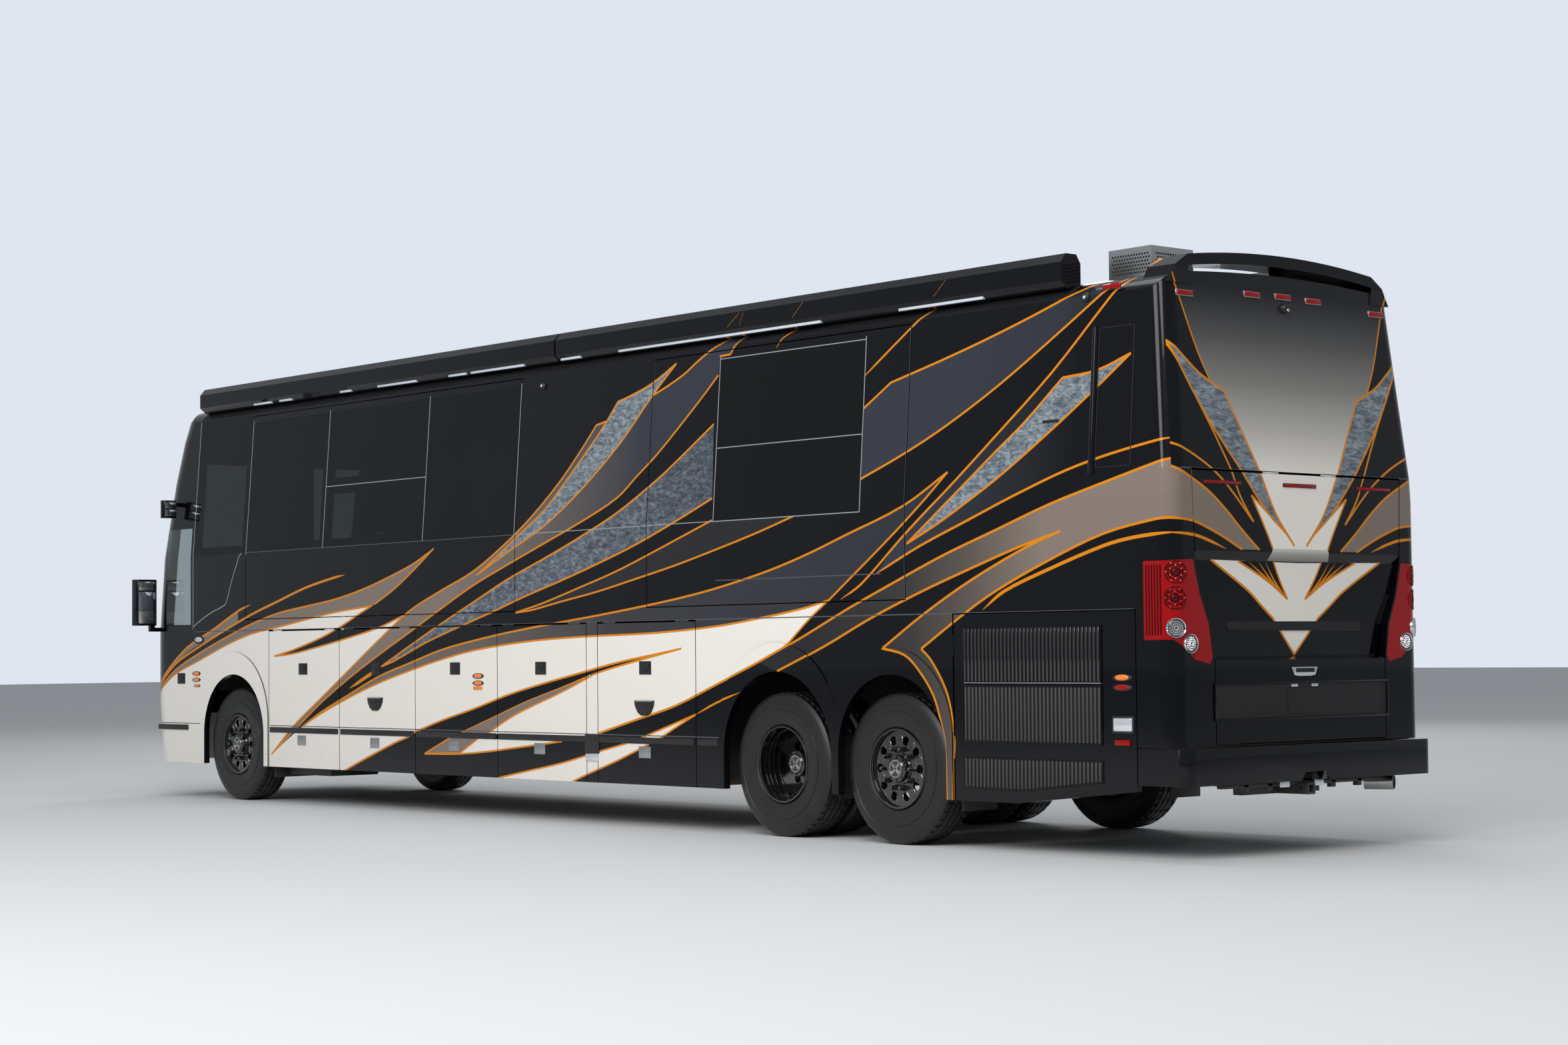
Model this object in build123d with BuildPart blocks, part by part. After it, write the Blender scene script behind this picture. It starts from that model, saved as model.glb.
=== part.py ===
from build123d import *
from math import radians, sin, cos
import os

os.makedirs("parts", exist_ok=True)

# Frame: +X to the front, +Y to the left side, +Z up, origin on the ground under the middle. Sizes in mm.

# overall sizes
overall_length = 13850
half_width = 1290
front_overhang = 1850
wheelbase = 8030
bumper_depth = 95
tyre_r = 535
tag_spacing = 2 * tyre_r + 175

front_x = overall_length / 2
bumper_x = -overall_length / 2
rear_x = bumper_x + bumper_depth
front_axle_x = front_x - front_overhang
drive_axle_x = front_axle_x - wheelbase
tag_axle_x = drive_axle_x - tag_spacing

# heights
skirt_z = 337
floor_top_z = 1600
floor_thick = 60
belt_z = 1620
lean_z = 2360
eave_z = 3700
eave_half_width = half_width - 98
crown_z = eave_z + 150
roof_bend_z = eave_z + 108
roof_bend_y = eave_half_width - 172

# wall thicknesses and running gaps; walls are thicker than doors so that floors behind clear the doors
door_thick = 45
door_clearance = 5
wall = door_thick + door_clearance
shell = 40
glass = 8
seam = 8
touch = 0.3
glass_gap = 0.5
pane_gap = 3

# places along the length
cap_x = front_x - 1055
rear_cap_x = rear_x + 913
corner_x = rear_x + 312
bulkhead_x = rear_x + 1830


def finish(piece, name):
    piece.part.label = name
    export_step(piece.part, f"parts/{name}.step")


def lean_y(z, inset=0.0):
    """Half width of the body at a height: upright to lean_z, then leaning in to the eaves."""
    share = max(0.0, (z - lean_z) / (eave_z - lean_z))
    return half_width - inset - share * (half_width - eave_half_width)


def side_plane(side, inset=0.0):
    """Upright plane of one side, its normal to the right of the vehicle."""
    return Plane.XZ.offset(-side * (half_width - inset))


def body_section(inset, low_z, at_x):
    """Closed cross-section of the body with its crowned roof."""
    with BuildSketch(Plane.YZ.offset(at_x), mode=Mode.PRIVATE) as sketch:
        with BuildLine():
            Polyline(
                (0, low_z),
                (half_width - inset, low_z),
                (half_width - inset, lean_z),
                (eave_half_width - inset, eave_z),
            )
            ThreePointArc(
                (eave_half_width - inset, eave_z),
                (eave_half_width - inset - 60, eave_z + 70 - inset / 2),
                (roof_bend_y - inset, roof_bend_z - inset),
            )
            ThreePointArc(
                (roof_bend_y - inset, roof_bend_z - inset),
                (roof_bend_y / 2, roof_bend_z + 31 - inset),
                (0, crown_z - inset),
            )
            Line((0, crown_z - inset), (0, low_z))
        make_face()
        mirror(about=Plane.YZ)
    return sketch.sketch


def band(side, low_z, high_z, depth, at_x, proud=0.0):
    """Strip of the leaning side between two heights, seen along the vehicle."""
    with BuildSketch(Plane.YZ.offset(at_x), mode=Mode.PRIVATE) as sketch:
        with BuildLine():
            Polyline(
                (side * lean_y(low_z, -proud), low_z),
                (side * lean_y(high_z, -proud), high_z),
                (side * lean_y(high_z, depth), high_z),
                (side * lean_y(low_z, depth), low_z),
                close=True,
            )
        make_face()
    return sketch.sketch


# side openings: windows and slide-outs share these stations along the length
slide_low_z = belt_z + 109
slide_high_z = eave_z - 28
window_low_z = lean_z + 7
window_high_z = eave_z - 93
slide_inner_y = half_width - 730

front_slide_front = front_x - 2073
front_slide_rear = front_x - 6526
rear_slide_front = front_x - 8325
rear_slide_rear = front_x - 11277

# window panes: rear end, front end, low and high edge of each pane
front_slide_panes = [
    (front_x - 3470, front_slide_front - 6, window_low_z, window_high_z),
    (front_x - 5132, front_x - 3476, window_low_z, 2922),
    (front_x - 5132, front_x - 3476, 2928, window_high_z),
    (front_slide_rear + 6, front_x - 5138, window_low_z, window_high_z),
]
rear_slide_panes = [
    (front_x - 10807, front_x - 9154, window_low_z, 2922),
    (front_x - 10807, front_x - 9154, 2928, window_high_z),
]
right_panes = front_slide_panes + rear_slide_panes

# baggage doors between the front and the drive wheels: number, front edge and rear edge
bays_front = front_axle_x - tyre_r - 126
bays_rear = drive_axle_x + tyre_r + 424
pillar = 158
door_count = 5
door_length = (bays_front - bays_rear - pillar - (door_count - 2) * seam) / door_count
door_edges = []
door_front = bays_front
for number in range(1, door_count + 1):
    door_edges.append((number, door_front, door_front - door_length))
    door_front -= door_length + (pillar if number == door_count - 1 else seam)
hinge_gap = 14
hinge_z = belt_z - hinge_gap / 2
hinge_r = 4.5
hinge_length = 80
hinge_inset = 160
door_top_z = belt_z - hinge_gap

# radiator door at the rear of the left side
radiator_front = tag_axle_x - tyre_r - 105
radiator_rear = corner_x + seam
radiator_hinge_x = radiator_front + hinge_gap / 2
radiator_hinge_zs = [700, 1400]
# underside of the tail, rising to the bumper
tail_z = 447
tail_slope_length = 1070
tail_slope = [(corner_x, skirt_z - 5), (corner_x, tail_z), (corner_x + tail_slope_length, skirt_z - 5)]


def knuckle_xs(front, rear):
    return [front - hinge_inset, rear + hinge_inset]


def side_hinge(side, centre_x, length, up):
    """Piece of hinge on the belt line: a round bead with a web to the piece that carries it."""
    web = 6
    with BuildPart(mode=Mode.PRIVATE) as bead:
        with BuildSketch(Plane.YZ.offset(centre_x - length / 2)):
            with Locations((side * half_width, hinge_z)):
                Circle(hinge_r)
            low = hinge_z if up else hinge_z - 14
            with Locations((side * (half_width - web / 2), low + 7)):
                Rectangle(web, 14)
        extrude(amount=length)
    return bead.part


# Side walls above the belt line, one each side
left_cuts = [
    (front_slide_rear - seam, front_slide_front + seam, slide_low_z - seam, slide_high_z + seam),
    (rear_slide_rear - seam, rear_slide_front + seam, slide_low_z - seam, slide_high_z + seam),
]
window_margin = 70
driver_pane = (front_slide_front + 20, cap_x - 6, window_low_z, eave_z - 14)

for side, name in [(1, "left_wall"), (-1, "right_wall")]:
    panes = [driver_pane] if side == 1 else right_panes
    with BuildPart() as side_wall:
        with BuildSketch(Plane.YZ.offset(rear_cap_x)):
            with BuildLine():
                Polyline(
                    (side * half_width, belt_z),
                    (side * half_width, lean_z),
                    (side * eave_half_width, eave_z),
                    (side * (eave_half_width - wall), eave_z),
                    (side * (half_width - wall), lean_z),
                    (side * (half_width - wall), belt_z),
                    close=True,
                )
            make_face()
        extrude(amount=cap_x - rear_cap_x)
        if side == 1:
            for rear, front, low, high in left_cuts:
                with Locations(((front + rear) / 2, side * half_width, (low + high) / 2)):
                    Box(front - rear, 400, high - low, mode=Mode.SUBTRACT)
        for rear, front, low, high in panes:
            recess = band(side, low - pane_gap, high + pane_gap, glass, rear - pane_gap, 20)
            extrude(recess, amount=front - rear + 2 * pane_gap, mode=Mode.SUBTRACT)
            with Locations(((front + rear) / 2, side * half_width, (low + high) / 2)):
                Box(
                    front - rear - 2 * window_margin,
                    400,
                    high - low - 2 * window_margin,
                    mode=Mode.SUBTRACT,
                )
        for number, front, rear in door_edges:
            for at in knuckle_xs(front, rear):
                for end in (-1, 1):
                    middle = at + end * (hinge_length * 0.75 + touch)
                    add(side_hinge(side, middle, hinge_length / 2, True))
    finish(side_wall, name)

# Glass set in the side walls
with BuildPart() as side_windows:
    for side, panes in [(1, [driver_pane]), (-1, right_panes)]:
        for rear, front, low, high in panes:
            extrude(band(side, low, high, glass - glass_gap, rear), amount=front - rear)
finish(side_windows, "side_windows")

# Slide-out rooms on the left side: tubs open to the inside, with their window panes
slides = [
    ("front_slide", front_slide_rear, front_slide_front, front_slide_panes),
    ("rear_slide", rear_slide_rear, rear_slide_front, rear_slide_panes),
]
for name, rear, front, panes in slides:
    with BuildPart() as slide:
        with BuildSketch(Plane.YZ.offset(rear)):
            with BuildLine():
                Polyline(
                    (slide_inner_y, slide_low_z),
                    (half_width, slide_low_z),
                    (half_width, lean_z),
                    (lean_y(slide_high_z), slide_high_z),
                    (slide_inner_y, slide_high_z),
                    close=True,
                )
            make_face()
        extrude(amount=front - rear)
        with BuildSketch(Plane.YZ.offset(rear + shell)):
            with BuildLine():
                Polyline(
                    (slide_inner_y - 10, slide_low_z + shell),
                    (half_width - wall, slide_low_z + shell),
                    (half_width - wall, lean_z),
                    (lean_y(slide_high_z - shell, wall), slide_high_z - shell),
                    (slide_inner_y - 10, slide_high_z - shell),
                    close=True,
                )
            make_face()
        extrude(amount=front - rear - 2 * shell, mode=Mode.SUBTRACT)
        for pane_rear, pane_front, low, high in panes:
            recess = band(1, low - pane_gap, high + pane_gap, glass, pane_rear - pane_gap, 20)
            extrude(recess, amount=pane_front - pane_rear + 2 * pane_gap, mode=Mode.SUBTRACT)
            with Locations(((pane_front + pane_rear) / 2, half_width, (low + high) / 2)):
                Box(
                    pane_front - pane_rear - 2 * window_margin,
                    300,
                    high - low - 2 * window_margin,
                    mode=Mode.SUBTRACT,
                )
    finish(slide, name)
    with BuildPart() as slide_glass:
        for pane_rear, pane_front, low, high in panes:
            extrude(band(1, low, high, glass - glass_gap, pane_rear), amount=pane_front - pane_rear)
    finish(slide_glass, name + "_windows")

# Roof between the two end caps
with BuildPart() as roof:
    extrude(body_section(0, lean_z - 100, rear_cap_x), amount=cap_x - rear_cap_x)
    extrude(body_section(wall, lean_z - 200, rear_cap_x), amount=cap_x - rear_cap_x, mode=Mode.SUBTRACT)
    split(bisect_by=Plane.XY.offset(eave_z), keep=Keep.TOP)
finish(roof, "roof")

# Front end: plan outlines at several heights, z, foremost x and half width
front_sections = [
    (skirt_z, front_x - 45, half_width - 12),
    (950, front_x, half_width),
    (belt_z, front_x, half_width),
    (lean_z, front_x - 95, half_width),
    (eave_z - 600, front_x - 235, lean_y(eave_z - 600)),
    (eave_z - 200, front_x - 355, lean_y(eave_z - 200)),
    (eave_z + 8, front_x - 453, lean_y(eave_z + 8)),
    (crown_z + 40, front_x - 760, lean_y(crown_z + 40)),
]
front_corner = 400
front_bulge = 70
front_back_x = cap_x - 400


def front_solid(inset):
    """Ruled loft of the front end, moved in by a wall thickness where asked."""
    with BuildPart() as end:
        for z, foremost, half in front_sections:
            tip = foremost - inset
            wide = half - inset
            corner = front_corner - inset
            with BuildSketch(Plane.XY.offset(z)):
                with BuildLine():
                    flank = tip - front_bulge - corner
                    Line((front_back_x, wide), (flank, wide))
                    ThreePointArc(
                        (flank, wide),
                        (flank + corner * sin(radians(45)), wide - corner * (1 - cos(radians(45)))),
                        (flank + corner, wide - corner),
                    )
                    ThreePointArc((flank + corner, wide - corner), (tip, 0), (flank + corner, corner - wide))
                    ThreePointArc(
                        (flank + corner, corner - wide),
                        (flank + corner * sin(radians(45)), corner * (1 - cos(radians(45))) - wide),
                        (flank, -wide),
                    )
                    Polyline((flank, -wide), (front_back_x, -wide), (front_back_x, wide))
                make_face()
        loft(ruled=True)
        start = cap_x if inset == 0 else cap_x - 5
        section = body_section(inset, skirt_z - 10, start)
        extrude(section, amount=front_x - start + 5, mode=Mode.INTERSECT)
    return end.part


headlight_y = half_width - 410
headlight_half = 230
headlight_low_z = 860
headlight_high_z = 1080
windshield_low_z = 1450
windshield_high_z = eave_z - 370
windshield_half = half_width - 280
bumper_top_z = 800
# entry door in the right front corner
entry_rear = cap_x + seam
entry_front = cap_x + 610
entry_low_z = 430
entry_high_z = 2660
entry_hinge_x = entry_front + hinge_gap / 2
entry_hinge_zs = [950, 1550]
# driver's side window
driver_rear = cap_x + 60
driver_front = cap_x + 560
driver_low_z = 1690
driver_high_z = 2640

front_outer = front_solid(0)
front_inner = front_solid(shell)
front_clear = front_solid(-touch)
glass_inner = front_solid(glass + 4)


def prism_x(half, low, high, from_x, to_x, centre_y=0.0):
    """Block across the front between two heights."""
    middle = Pos((from_x + to_x) / 2, centre_y, (low + high) / 2)
    return middle * Box(to_x - from_x, 2 * half, high - low, mode=Mode.PRIVATE)


corner_y = half_width - 90
entry_hole = prism_x(
    400,
    entry_low_z - seam,
    entry_high_z + seam,
    cap_x - 5,
    entry_front + hinge_gap,
    -corner_y,
)
entry_block = prism_x(400, entry_low_z, entry_high_z, entry_rear, entry_front, -corner_y)
entry_glass_hole = prism_x(
    400,
    driver_low_z,
    driver_high_z - 80,
    entry_rear + 70,
    entry_front - 70,
    -corner_y,
)
windshield_hole = prism_x(windshield_half, windshield_low_z, windshield_high_z, front_x - 900, front_x + 50)
windshield_block = prism_x(
    windshield_half - glass_gap,
    windshield_low_z + glass_gap,
    windshield_high_z - glass_gap,
    front_x - 900,
    front_x + 50,
)
driver_hole = prism_x(300, driver_low_z, driver_high_z, driver_rear, driver_front, corner_y)
driver_block = prism_x(
    300,
    driver_low_z + glass_gap,
    driver_high_z - glass_gap,
    driver_rear + glass_gap,
    driver_front - glass_gap,
    corner_y,
)
headlight_blocks = [
    prism_x(
        headlight_half,
        headlight_low_z,
        headlight_high_z,
        front_x - 700,
        front_x + 50,
        side * headlight_y,
    )
    for side in (1, -1)
]
headlight_holes = [
    prism_x(
        headlight_half + glass_gap,
        headlight_low_z - glass_gap,
        headlight_high_z + glass_gap,
        front_x - 710,
        front_x + 50,
        side * headlight_y,
    )
    for side in (1, -1)
]
bumper_block = prism_x(half_width + 110, skirt_z - 50, bumper_top_z, cap_x - 50, front_x + 50)

with BuildPart() as front_cap:
    add(front_outer)
    add(front_inner, mode=Mode.SUBTRACT)
    add(bumper_block, mode=Mode.SUBTRACT)
    add(entry_hole, mode=Mode.SUBTRACT)
    add(windshield_hole, mode=Mode.SUBTRACT)
    add(driver_hole, mode=Mode.SUBTRACT)
    for hole in headlight_holes:
        add(hole, mode=Mode.SUBTRACT)
    for z in entry_hinge_zs:
        for end in (-1, 1):
            if z + end * hinge_length > bumper_top_z:
                middle = z + end * (hinge_length * 0.75 + touch)
                with Locations((entry_hinge_x, -half_width, middle)):
                    Cylinder(hinge_r, hinge_length / 2)
                with Locations((entry_hinge_x + 8, 3 - half_width, middle)):
                    Box(16, 6, hinge_length / 2)
finish(front_cap, "front_cap")

with BuildPart() as headlights:
    for lamp_block in headlight_blocks:
        add((front_outer - front_inner) & lamp_block)
finish(headlights, "headlights")

with BuildPart() as front_bumper:
    add(front_outer)
    add(front_inner, mode=Mode.SUBTRACT)
    add(bumper_block, mode=Mode.INTERSECT)
    add(entry_hole, mode=Mode.SUBTRACT)
finish(front_bumper, "front_bumper")

with BuildPart() as windshield:
    add(front_outer)
    add(glass_inner, mode=Mode.SUBTRACT)
    add(windshield_block + driver_block, mode=Mode.INTERSECT)
finish(windshield, "windshield")

# Entry door: the skin of the corner, hinged on its front edge
with BuildPart() as entry_door:
    add(front_outer)
    add(front_inner, mode=Mode.SUBTRACT)
    add(entry_block, mode=Mode.INTERSECT)
    add(entry_glass_hole, mode=Mode.SUBTRACT)
    for z in entry_hinge_zs:
        with Locations((entry_hinge_x, -half_width, z)):
            Cylinder(hinge_r, hinge_length)
        with Locations((entry_hinge_x - 8, 3 - half_width, z)):
            Box(16, 6, hinge_length)
finish(entry_door, "entry_door")

# Rear end: plan outlines at several heights, z, rearmost x and half width
rear_lean_x = rear_x + 115
rear_sections = [
    (730, rear_x, half_width),
    (lean_z, rear_x, half_width),
    (2520, rear_x, lean_y(2520)),
    (eave_z, rear_lean_x, lean_y(eave_z)),
    (crown_z + 40, rear_lean_x + 16, lean_y(crown_z + 40)),
]
rear_corner = 120
# the loft stands this far past the side, and the body section trims it
side_over = 0.1


def rear_solid(inset):
    """Ruled loft of the rear end, moved in by a wall thickness where asked."""
    with BuildPart() as end:
        for z, rearmost, half in rear_sections:
            with BuildSketch(Plane.XY.offset(z)):
                with BuildLine():
                    tip = rearmost + inset
                    wide = half - inset + side_over
                    corner = rear_corner - inset
                    FilletPolyline(
                        (rear_cap_x + 50, wide),
                        (tip, wide),
                        (tip, -wide),
                        (rear_cap_x + 50, -wide),
                        radius=corner,
                    )
                    Line((rear_cap_x + 50, -wide), (rear_cap_x + 50, wide))
                make_face()
        loft(ruled=True)
        stop = rear_cap_x if inset == 0 else rear_cap_x + 5
        section = body_section(inset, skirt_z, rear_x - 20)
        extrude(section, amount=stop - rear_x + 20, mode=Mode.INTERSECT)
    return end.part


rear_outer = rear_solid(0)
rear_inner = rear_solid(wall)

# outline of the engine door seen from behind: half widths and heights, and the tail lights beside it
engine_top_z = 2508
engine_low_z = bumper_top_z - 55
engine_half = half_width - 210
engine_outline = [
    (engine_half, engine_top_z),
    (engine_half - 22, 1940),
    (engine_half - 80, 1717),
    (engine_half - 165, 1520),
    (engine_half - 200, 1262),
    (engine_half - 200, engine_low_z),
]
# step of the door's surface, x behind the flat face and height
engine_profile = [
    (0, engine_top_z),
    (0, 1990),
    (28, 1930),
    (70, 1310),
    (0, 1285),
    (0, engine_low_z),
]
lamp_outline = [
    (engine_half + 5, 1936),
    (engine_half - 53, 1717),
    (engine_half - 138, 1520),
    (engine_half - 173, 1308),
    (engine_half - 145, 1262),
    (engine_half - 5, 1290),
    (half_width - 40, 1420),
    (half_width + 20, 1420),
    (half_width + 20, 1925),
]
lamp_front_x = rear_x + 243


def rear_prism(points, from_x, to_x, side=1, grow=0.0):
    """Outline seen from behind, drawn out along the vehicle."""
    with BuildPart(mode=Mode.PRIVATE) as block:
        with BuildSketch(Plane.YZ.offset(from_x)):
            with BuildLine():
                Polyline([(side * y, z) for y, z in points], close=True)
            make_face()
            if grow:
                offset(amount=grow, kind=Kind.INTERSECTION)
        extrude(amount=to_x - from_x)
    return block.part


engine_points = engine_outline + [(-y, z) for y, z in reversed(engine_outline)]
engine_hinge_z = engine_top_z + hinge_gap / 2
engine_hinge_slot = prism_x(
    engine_half,
    engine_top_z - 20,
    engine_top_z + hinge_gap,
    rear_x - 50,
    rear_x + 200,
)
engine_hinge_ys = [-300, 300]
hoop_half = eave_half_width - 42
hoop_foot_z = crown_z - 120
hoop_rear = rear_lean_x - 5
hoop_front = rear_lean_x + 235

with BuildPart() as rear_cap:
    add(rear_outer)
    add(rear_inner, mode=Mode.SUBTRACT)
    with Locations((corner_x + 500, 0, belt_z - 500)):
        Box(1000, 3 * half_width, 1000, mode=Mode.SUBTRACT)
    add(rear_prism(engine_points, rear_x - 50, rear_x + 200, grow=seam), mode=Mode.SUBTRACT)
    add(engine_hinge_slot, mode=Mode.SUBTRACT)
    for side in (1, -1):
        add(rear_prism(lamp_outline, rear_x - 50, lamp_front_x, side), mode=Mode.SUBTRACT)
    # arch over the rear edge of the roof, with its open slot
    with BuildSketch(Plane.YZ.offset(hoop_rear)):
        with BuildLine():
            Polyline((-hoop_half, hoop_foot_z), (70 - hoop_half, crown_z), (190 - hoop_half, crown_z + 75))
            ThreePointArc(
                (190 - hoop_half, crown_z + 75),
                (0, crown_z + 135),
                (hoop_half - 190, crown_z + 75),
            )
            Polyline(
                (hoop_half - 190, crown_z + 75),
                (hoop_half - 70, crown_z),
                (hoop_half, hoop_foot_z),
                (-hoop_half, hoop_foot_z),
            )
        make_face()
        with BuildLine():
            Line((210 - hoop_half, hoop_foot_z - 30), (190 - hoop_half, crown_z))
            ThreePointArc((190 - hoop_half, crown_z), (0, crown_z + 58), (hoop_half - 190, crown_z))
            Polyline(
                (hoop_half - 190, crown_z),
                (hoop_half - 210, hoop_foot_z - 30),
                (210 - hoop_half, hoop_foot_z - 30),
            )
        make_face(mode=Mode.SUBTRACT)
    extrude(amount=hoop_front - hoop_rear)
    add(rear_inner, mode=Mode.SUBTRACT)
    for y in engine_hinge_ys:
        for end in (-1, 1):
            with Locations((rear_x, y + end * (hinge_length * 0.75 + touch), engine_hinge_z)):
                Cylinder(hinge_r, hinge_length / 2, rotation=(90, 0, 0))
            with Locations((rear_x + 3, y + end * (hinge_length * 0.75 + touch), engine_hinge_z + 8)):
                Box(6, hinge_length / 2, 16)
finish(rear_cap, "rear_cap")

with BuildPart() as tail_lights:
    for side in (1, -1):
        add(
            (rear_outer - rear_inner)
            & rear_prism(lamp_outline, rear_x - 50, lamp_front_x - glass_gap, side, grow=-glass_gap)
        )
finish(tail_lights, "tail_lights")

with BuildPart() as engine_door:
    with BuildSketch(Plane.XZ):
        with BuildLine():
            outer = [(rear_x + dx, z) for dx, z in engine_profile]
            inner = [(rear_x + dx + door_thick, z) for dx, z in reversed(engine_profile)]
            Polyline(outer + inner, close=True)
        make_face()
    extrude(amount=half_width, both=True)
    add(rear_prism(engine_points, rear_x - 50, rear_x + 200), mode=Mode.INTERSECT)
    for y in engine_hinge_ys:
        with Locations((rear_x, y, engine_hinge_z)):
            Cylinder(hinge_r, hinge_length, rotation=(90, 0, 0))
        with Locations((rear_x + 3, y, engine_hinge_z - 8)):
            Box(6, hinge_length, 16)
finish(engine_door, "engine_door")

# Rear bumper wrapped round both corners
bumper_low_z = 487
rear_bumper_top_z = 725
with BuildPart() as rear_bumper:
    with BuildSketch(Plane.XY.offset(bumper_low_z)):
        with BuildLine():
            FilletPolyline(
                (corner_x, half_width),
                (bumper_x, half_width),
                (bumper_x, -half_width),
                (corner_x, -half_width),
                radius=100,
            )
            Line((corner_x, -half_width), (corner_x, half_width))
        make_face()
        with BuildLine():
            FilletPolyline(
                (corner_x, half_width - wall),
                (bumper_x + 90, half_width - wall),
                (bumper_x + 90, wall - half_width),
                (corner_x, wall - half_width),
                radius=60,
            )
            Line((corner_x, wall - half_width), (corner_x, half_width - wall))
        make_face(mode=Mode.SUBTRACT)
    extrude(amount=rear_bumper_top_z - bumper_low_z)
    with BuildSketch(Plane.YZ.offset(bumper_x - 10)):
        with BuildLine():
            Polyline((-150, 487), (-105, 545), (105, 545), (150, 487), close=True)
        make_face()
    extrude(amount=120, mode=Mode.SUBTRACT)
finish(rear_bumper, "rear_bumper")

# Lower panels of each side, with the wheel arches cut and a raised lip round each
front_arch = [(front_axle_x, tyre_r + 35, tyre_r + 97, tyre_r + 110, tyre_r + 235)]
rear_arches = [
    (drive_axle_x, tyre_r + 77, tyre_r + 75, tyre_r + 155, tyre_r + 211),
    (tag_axle_x, tyre_r + 25, tyre_r + 105, tyre_r + 85, tyre_r + 235),
]
lip = 10
# fixed panels: rear edge, front edge and the arches in each, an arch as its centre x,
# inner radius and height, and lip radius and height
fixed_panels = [
    (door_edges[0][1] + seam, cap_x, front_arch),
    (door_edges[4][1] + seam, door_edges[3][2] - seam, []),
]
# the left side ends at the radiator door, the right side runs on to the corner
rear_panel_ends = {1: radiator_front + hinge_gap, -1: corner_x}
for side, name in [(1, "left_lower_panels"), (-1, "right_lower_panels")]:
    rear_panel = (rear_panel_ends[side], door_edges[4][2] - seam, rear_arches)
    with BuildPart() as lower_panels:
        for rear, front, arches in fixed_panels + [rear_panel]:
            with BuildSketch(side_plane(side)):
                with Locations(((front + rear) / 2, (skirt_z + belt_z) / 2)):
                    Rectangle(front - rear, belt_z - skirt_z)
            extrude(amount=side * wall)
            for at, inner_r, inner_z, lip_r, lip_z in arches:
                low = max(at - lip_r, rear)
                with BuildSketch(side_plane(side)):
                    with Locations((at, lip_z)):
                        Circle(lip_r)
                    with Locations((at, lip_z / 2 + skirt_z / 2)):
                        Rectangle(2 * lip_r, lip_z - skirt_z)
                    with Locations(((front + rear) / 2, (skirt_z + belt_z) / 2)):
                        Rectangle(front - rear, belt_z - skirt_z, mode=Mode.INTERSECT)
                extrude(amount=-side * lip)
            for at, inner_r, inner_z, lip_r, lip_z in arches:
                with BuildSketch(side_plane(side, -50)):
                    with Locations((at, inner_z)):
                        Circle(inner_r)
                    with Locations((at, inner_z / 2)):
                        Rectangle(2 * inner_r, inner_z)
                extrude(amount=side * 200, mode=Mode.SUBTRACT)
        if side == 1:
            for z in radiator_hinge_zs:
                for end in (-1, 1):
                    middle = z + end * (hinge_length * 0.75 + touch)
                    with Locations((radiator_hinge_x, half_width, middle)):
                        Cylinder(hinge_r, hinge_length / 2)
                    with Locations((radiator_hinge_x + 8, half_width - 3, middle)):
                        Box(16, 6, hinge_length / 2)
        else:
            with BuildSketch(side_plane(side, -50)):
                Polygon(tail_slope, align=None)
            extrude(amount=side * 200, mode=Mode.SUBTRACT)
    finish(lower_panels, name)

# Baggage doors, five a side, hung from the belt line
for side, hand in [(1, "left"), (-1, "right")]:
    for number, front, rear in door_edges:
        with BuildPart() as baggage_door:
            with BuildSketch(side_plane(side)):
                with Locations(((front + rear) / 2, (skirt_z + door_top_z) / 2)):
                    Rectangle(front - rear, door_top_z - skirt_z)
            extrude(amount=side * door_thick)
            for at in knuckle_xs(front, rear):
                add(side_hinge(side, at, hinge_length, False))
        finish(baggage_door, f"{hand}_baggage_door_{number}")

# Radiator door behind the tag wheel on the left, hinged on its front edge
radiator_outline = [
    (radiator_front, skirt_z),
    (radiator_front, belt_z - seam),
    (radiator_rear, belt_z - seam),
    (radiator_rear, tail_z),
    (radiator_rear + tail_slope_length, skirt_z),
]
with BuildPart() as radiator_door:
    with BuildSketch(side_plane(1)):
        Polygon(radiator_outline, align=None)
    extrude(amount=door_thick)
    for z in radiator_hinge_zs:
        with Locations((radiator_hinge_x, half_width, z)):
            Cylinder(hinge_r, hinge_length)
        with Locations((radiator_hinge_x - 8, half_width - 3, z)):
            Box(16, 6, hinge_length)
finish(radiator_door, "radiator_door")

# Floor: passenger deck with its slide rails, the rear bulkhead and the bed platform behind it
deck_half = half_width - wall
driver_deck_z = 1100
bed_z = 2300
driver_deck_x = front_axle_x + tyre_r + 85
deck_plate = 60
deck_front = front_x - 150
step_plate = 40
step_rise = 280
# entry steps: height of the tread, its outer and inner edge across
step_mid_y = 380 - half_width
step_inner_y = 700 - half_width
steps = [(540, -deck_half + 5, step_mid_y), (540 + step_rise, step_mid_y, step_inner_y)]
driver_deck_y = half_width - 390
rail_xs = [
    front_slide_rear + 500,
    front_slide_front - 500,
    rear_slide_rear + 400,
    rear_slide_front - 400,
]


def block(from_xyz, to_xyz, mode=Mode.ADD):
    """Box between two corners."""
    size = [b - a for a, b in zip(from_xyz, to_xyz)]
    middle = [(a + b) / 2 for a, b in zip(from_xyz, to_xyz)]
    with Locations(tuple(middle)):
        Box(*size, mode=mode)


with BuildPart() as deck:
    block((bulkhead_x, -deck_half, floor_top_z - floor_thick), (driver_deck_x, deck_half, floor_top_z))
    block((bulkhead_x - wall, -deck_half, floor_top_z - floor_thick), (bulkhead_x, deck_half, bed_z))
    block((rear_x + wall + rear_corner, -deck_half, bed_z - shell), (bulkhead_x, deck_half, bed_z))
    for x in rail_xs:
        block((x - 30, slide_inner_y, floor_top_z), (x + 30, deck_half, slide_low_z - touch))
finish(deck, "deck")

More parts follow.
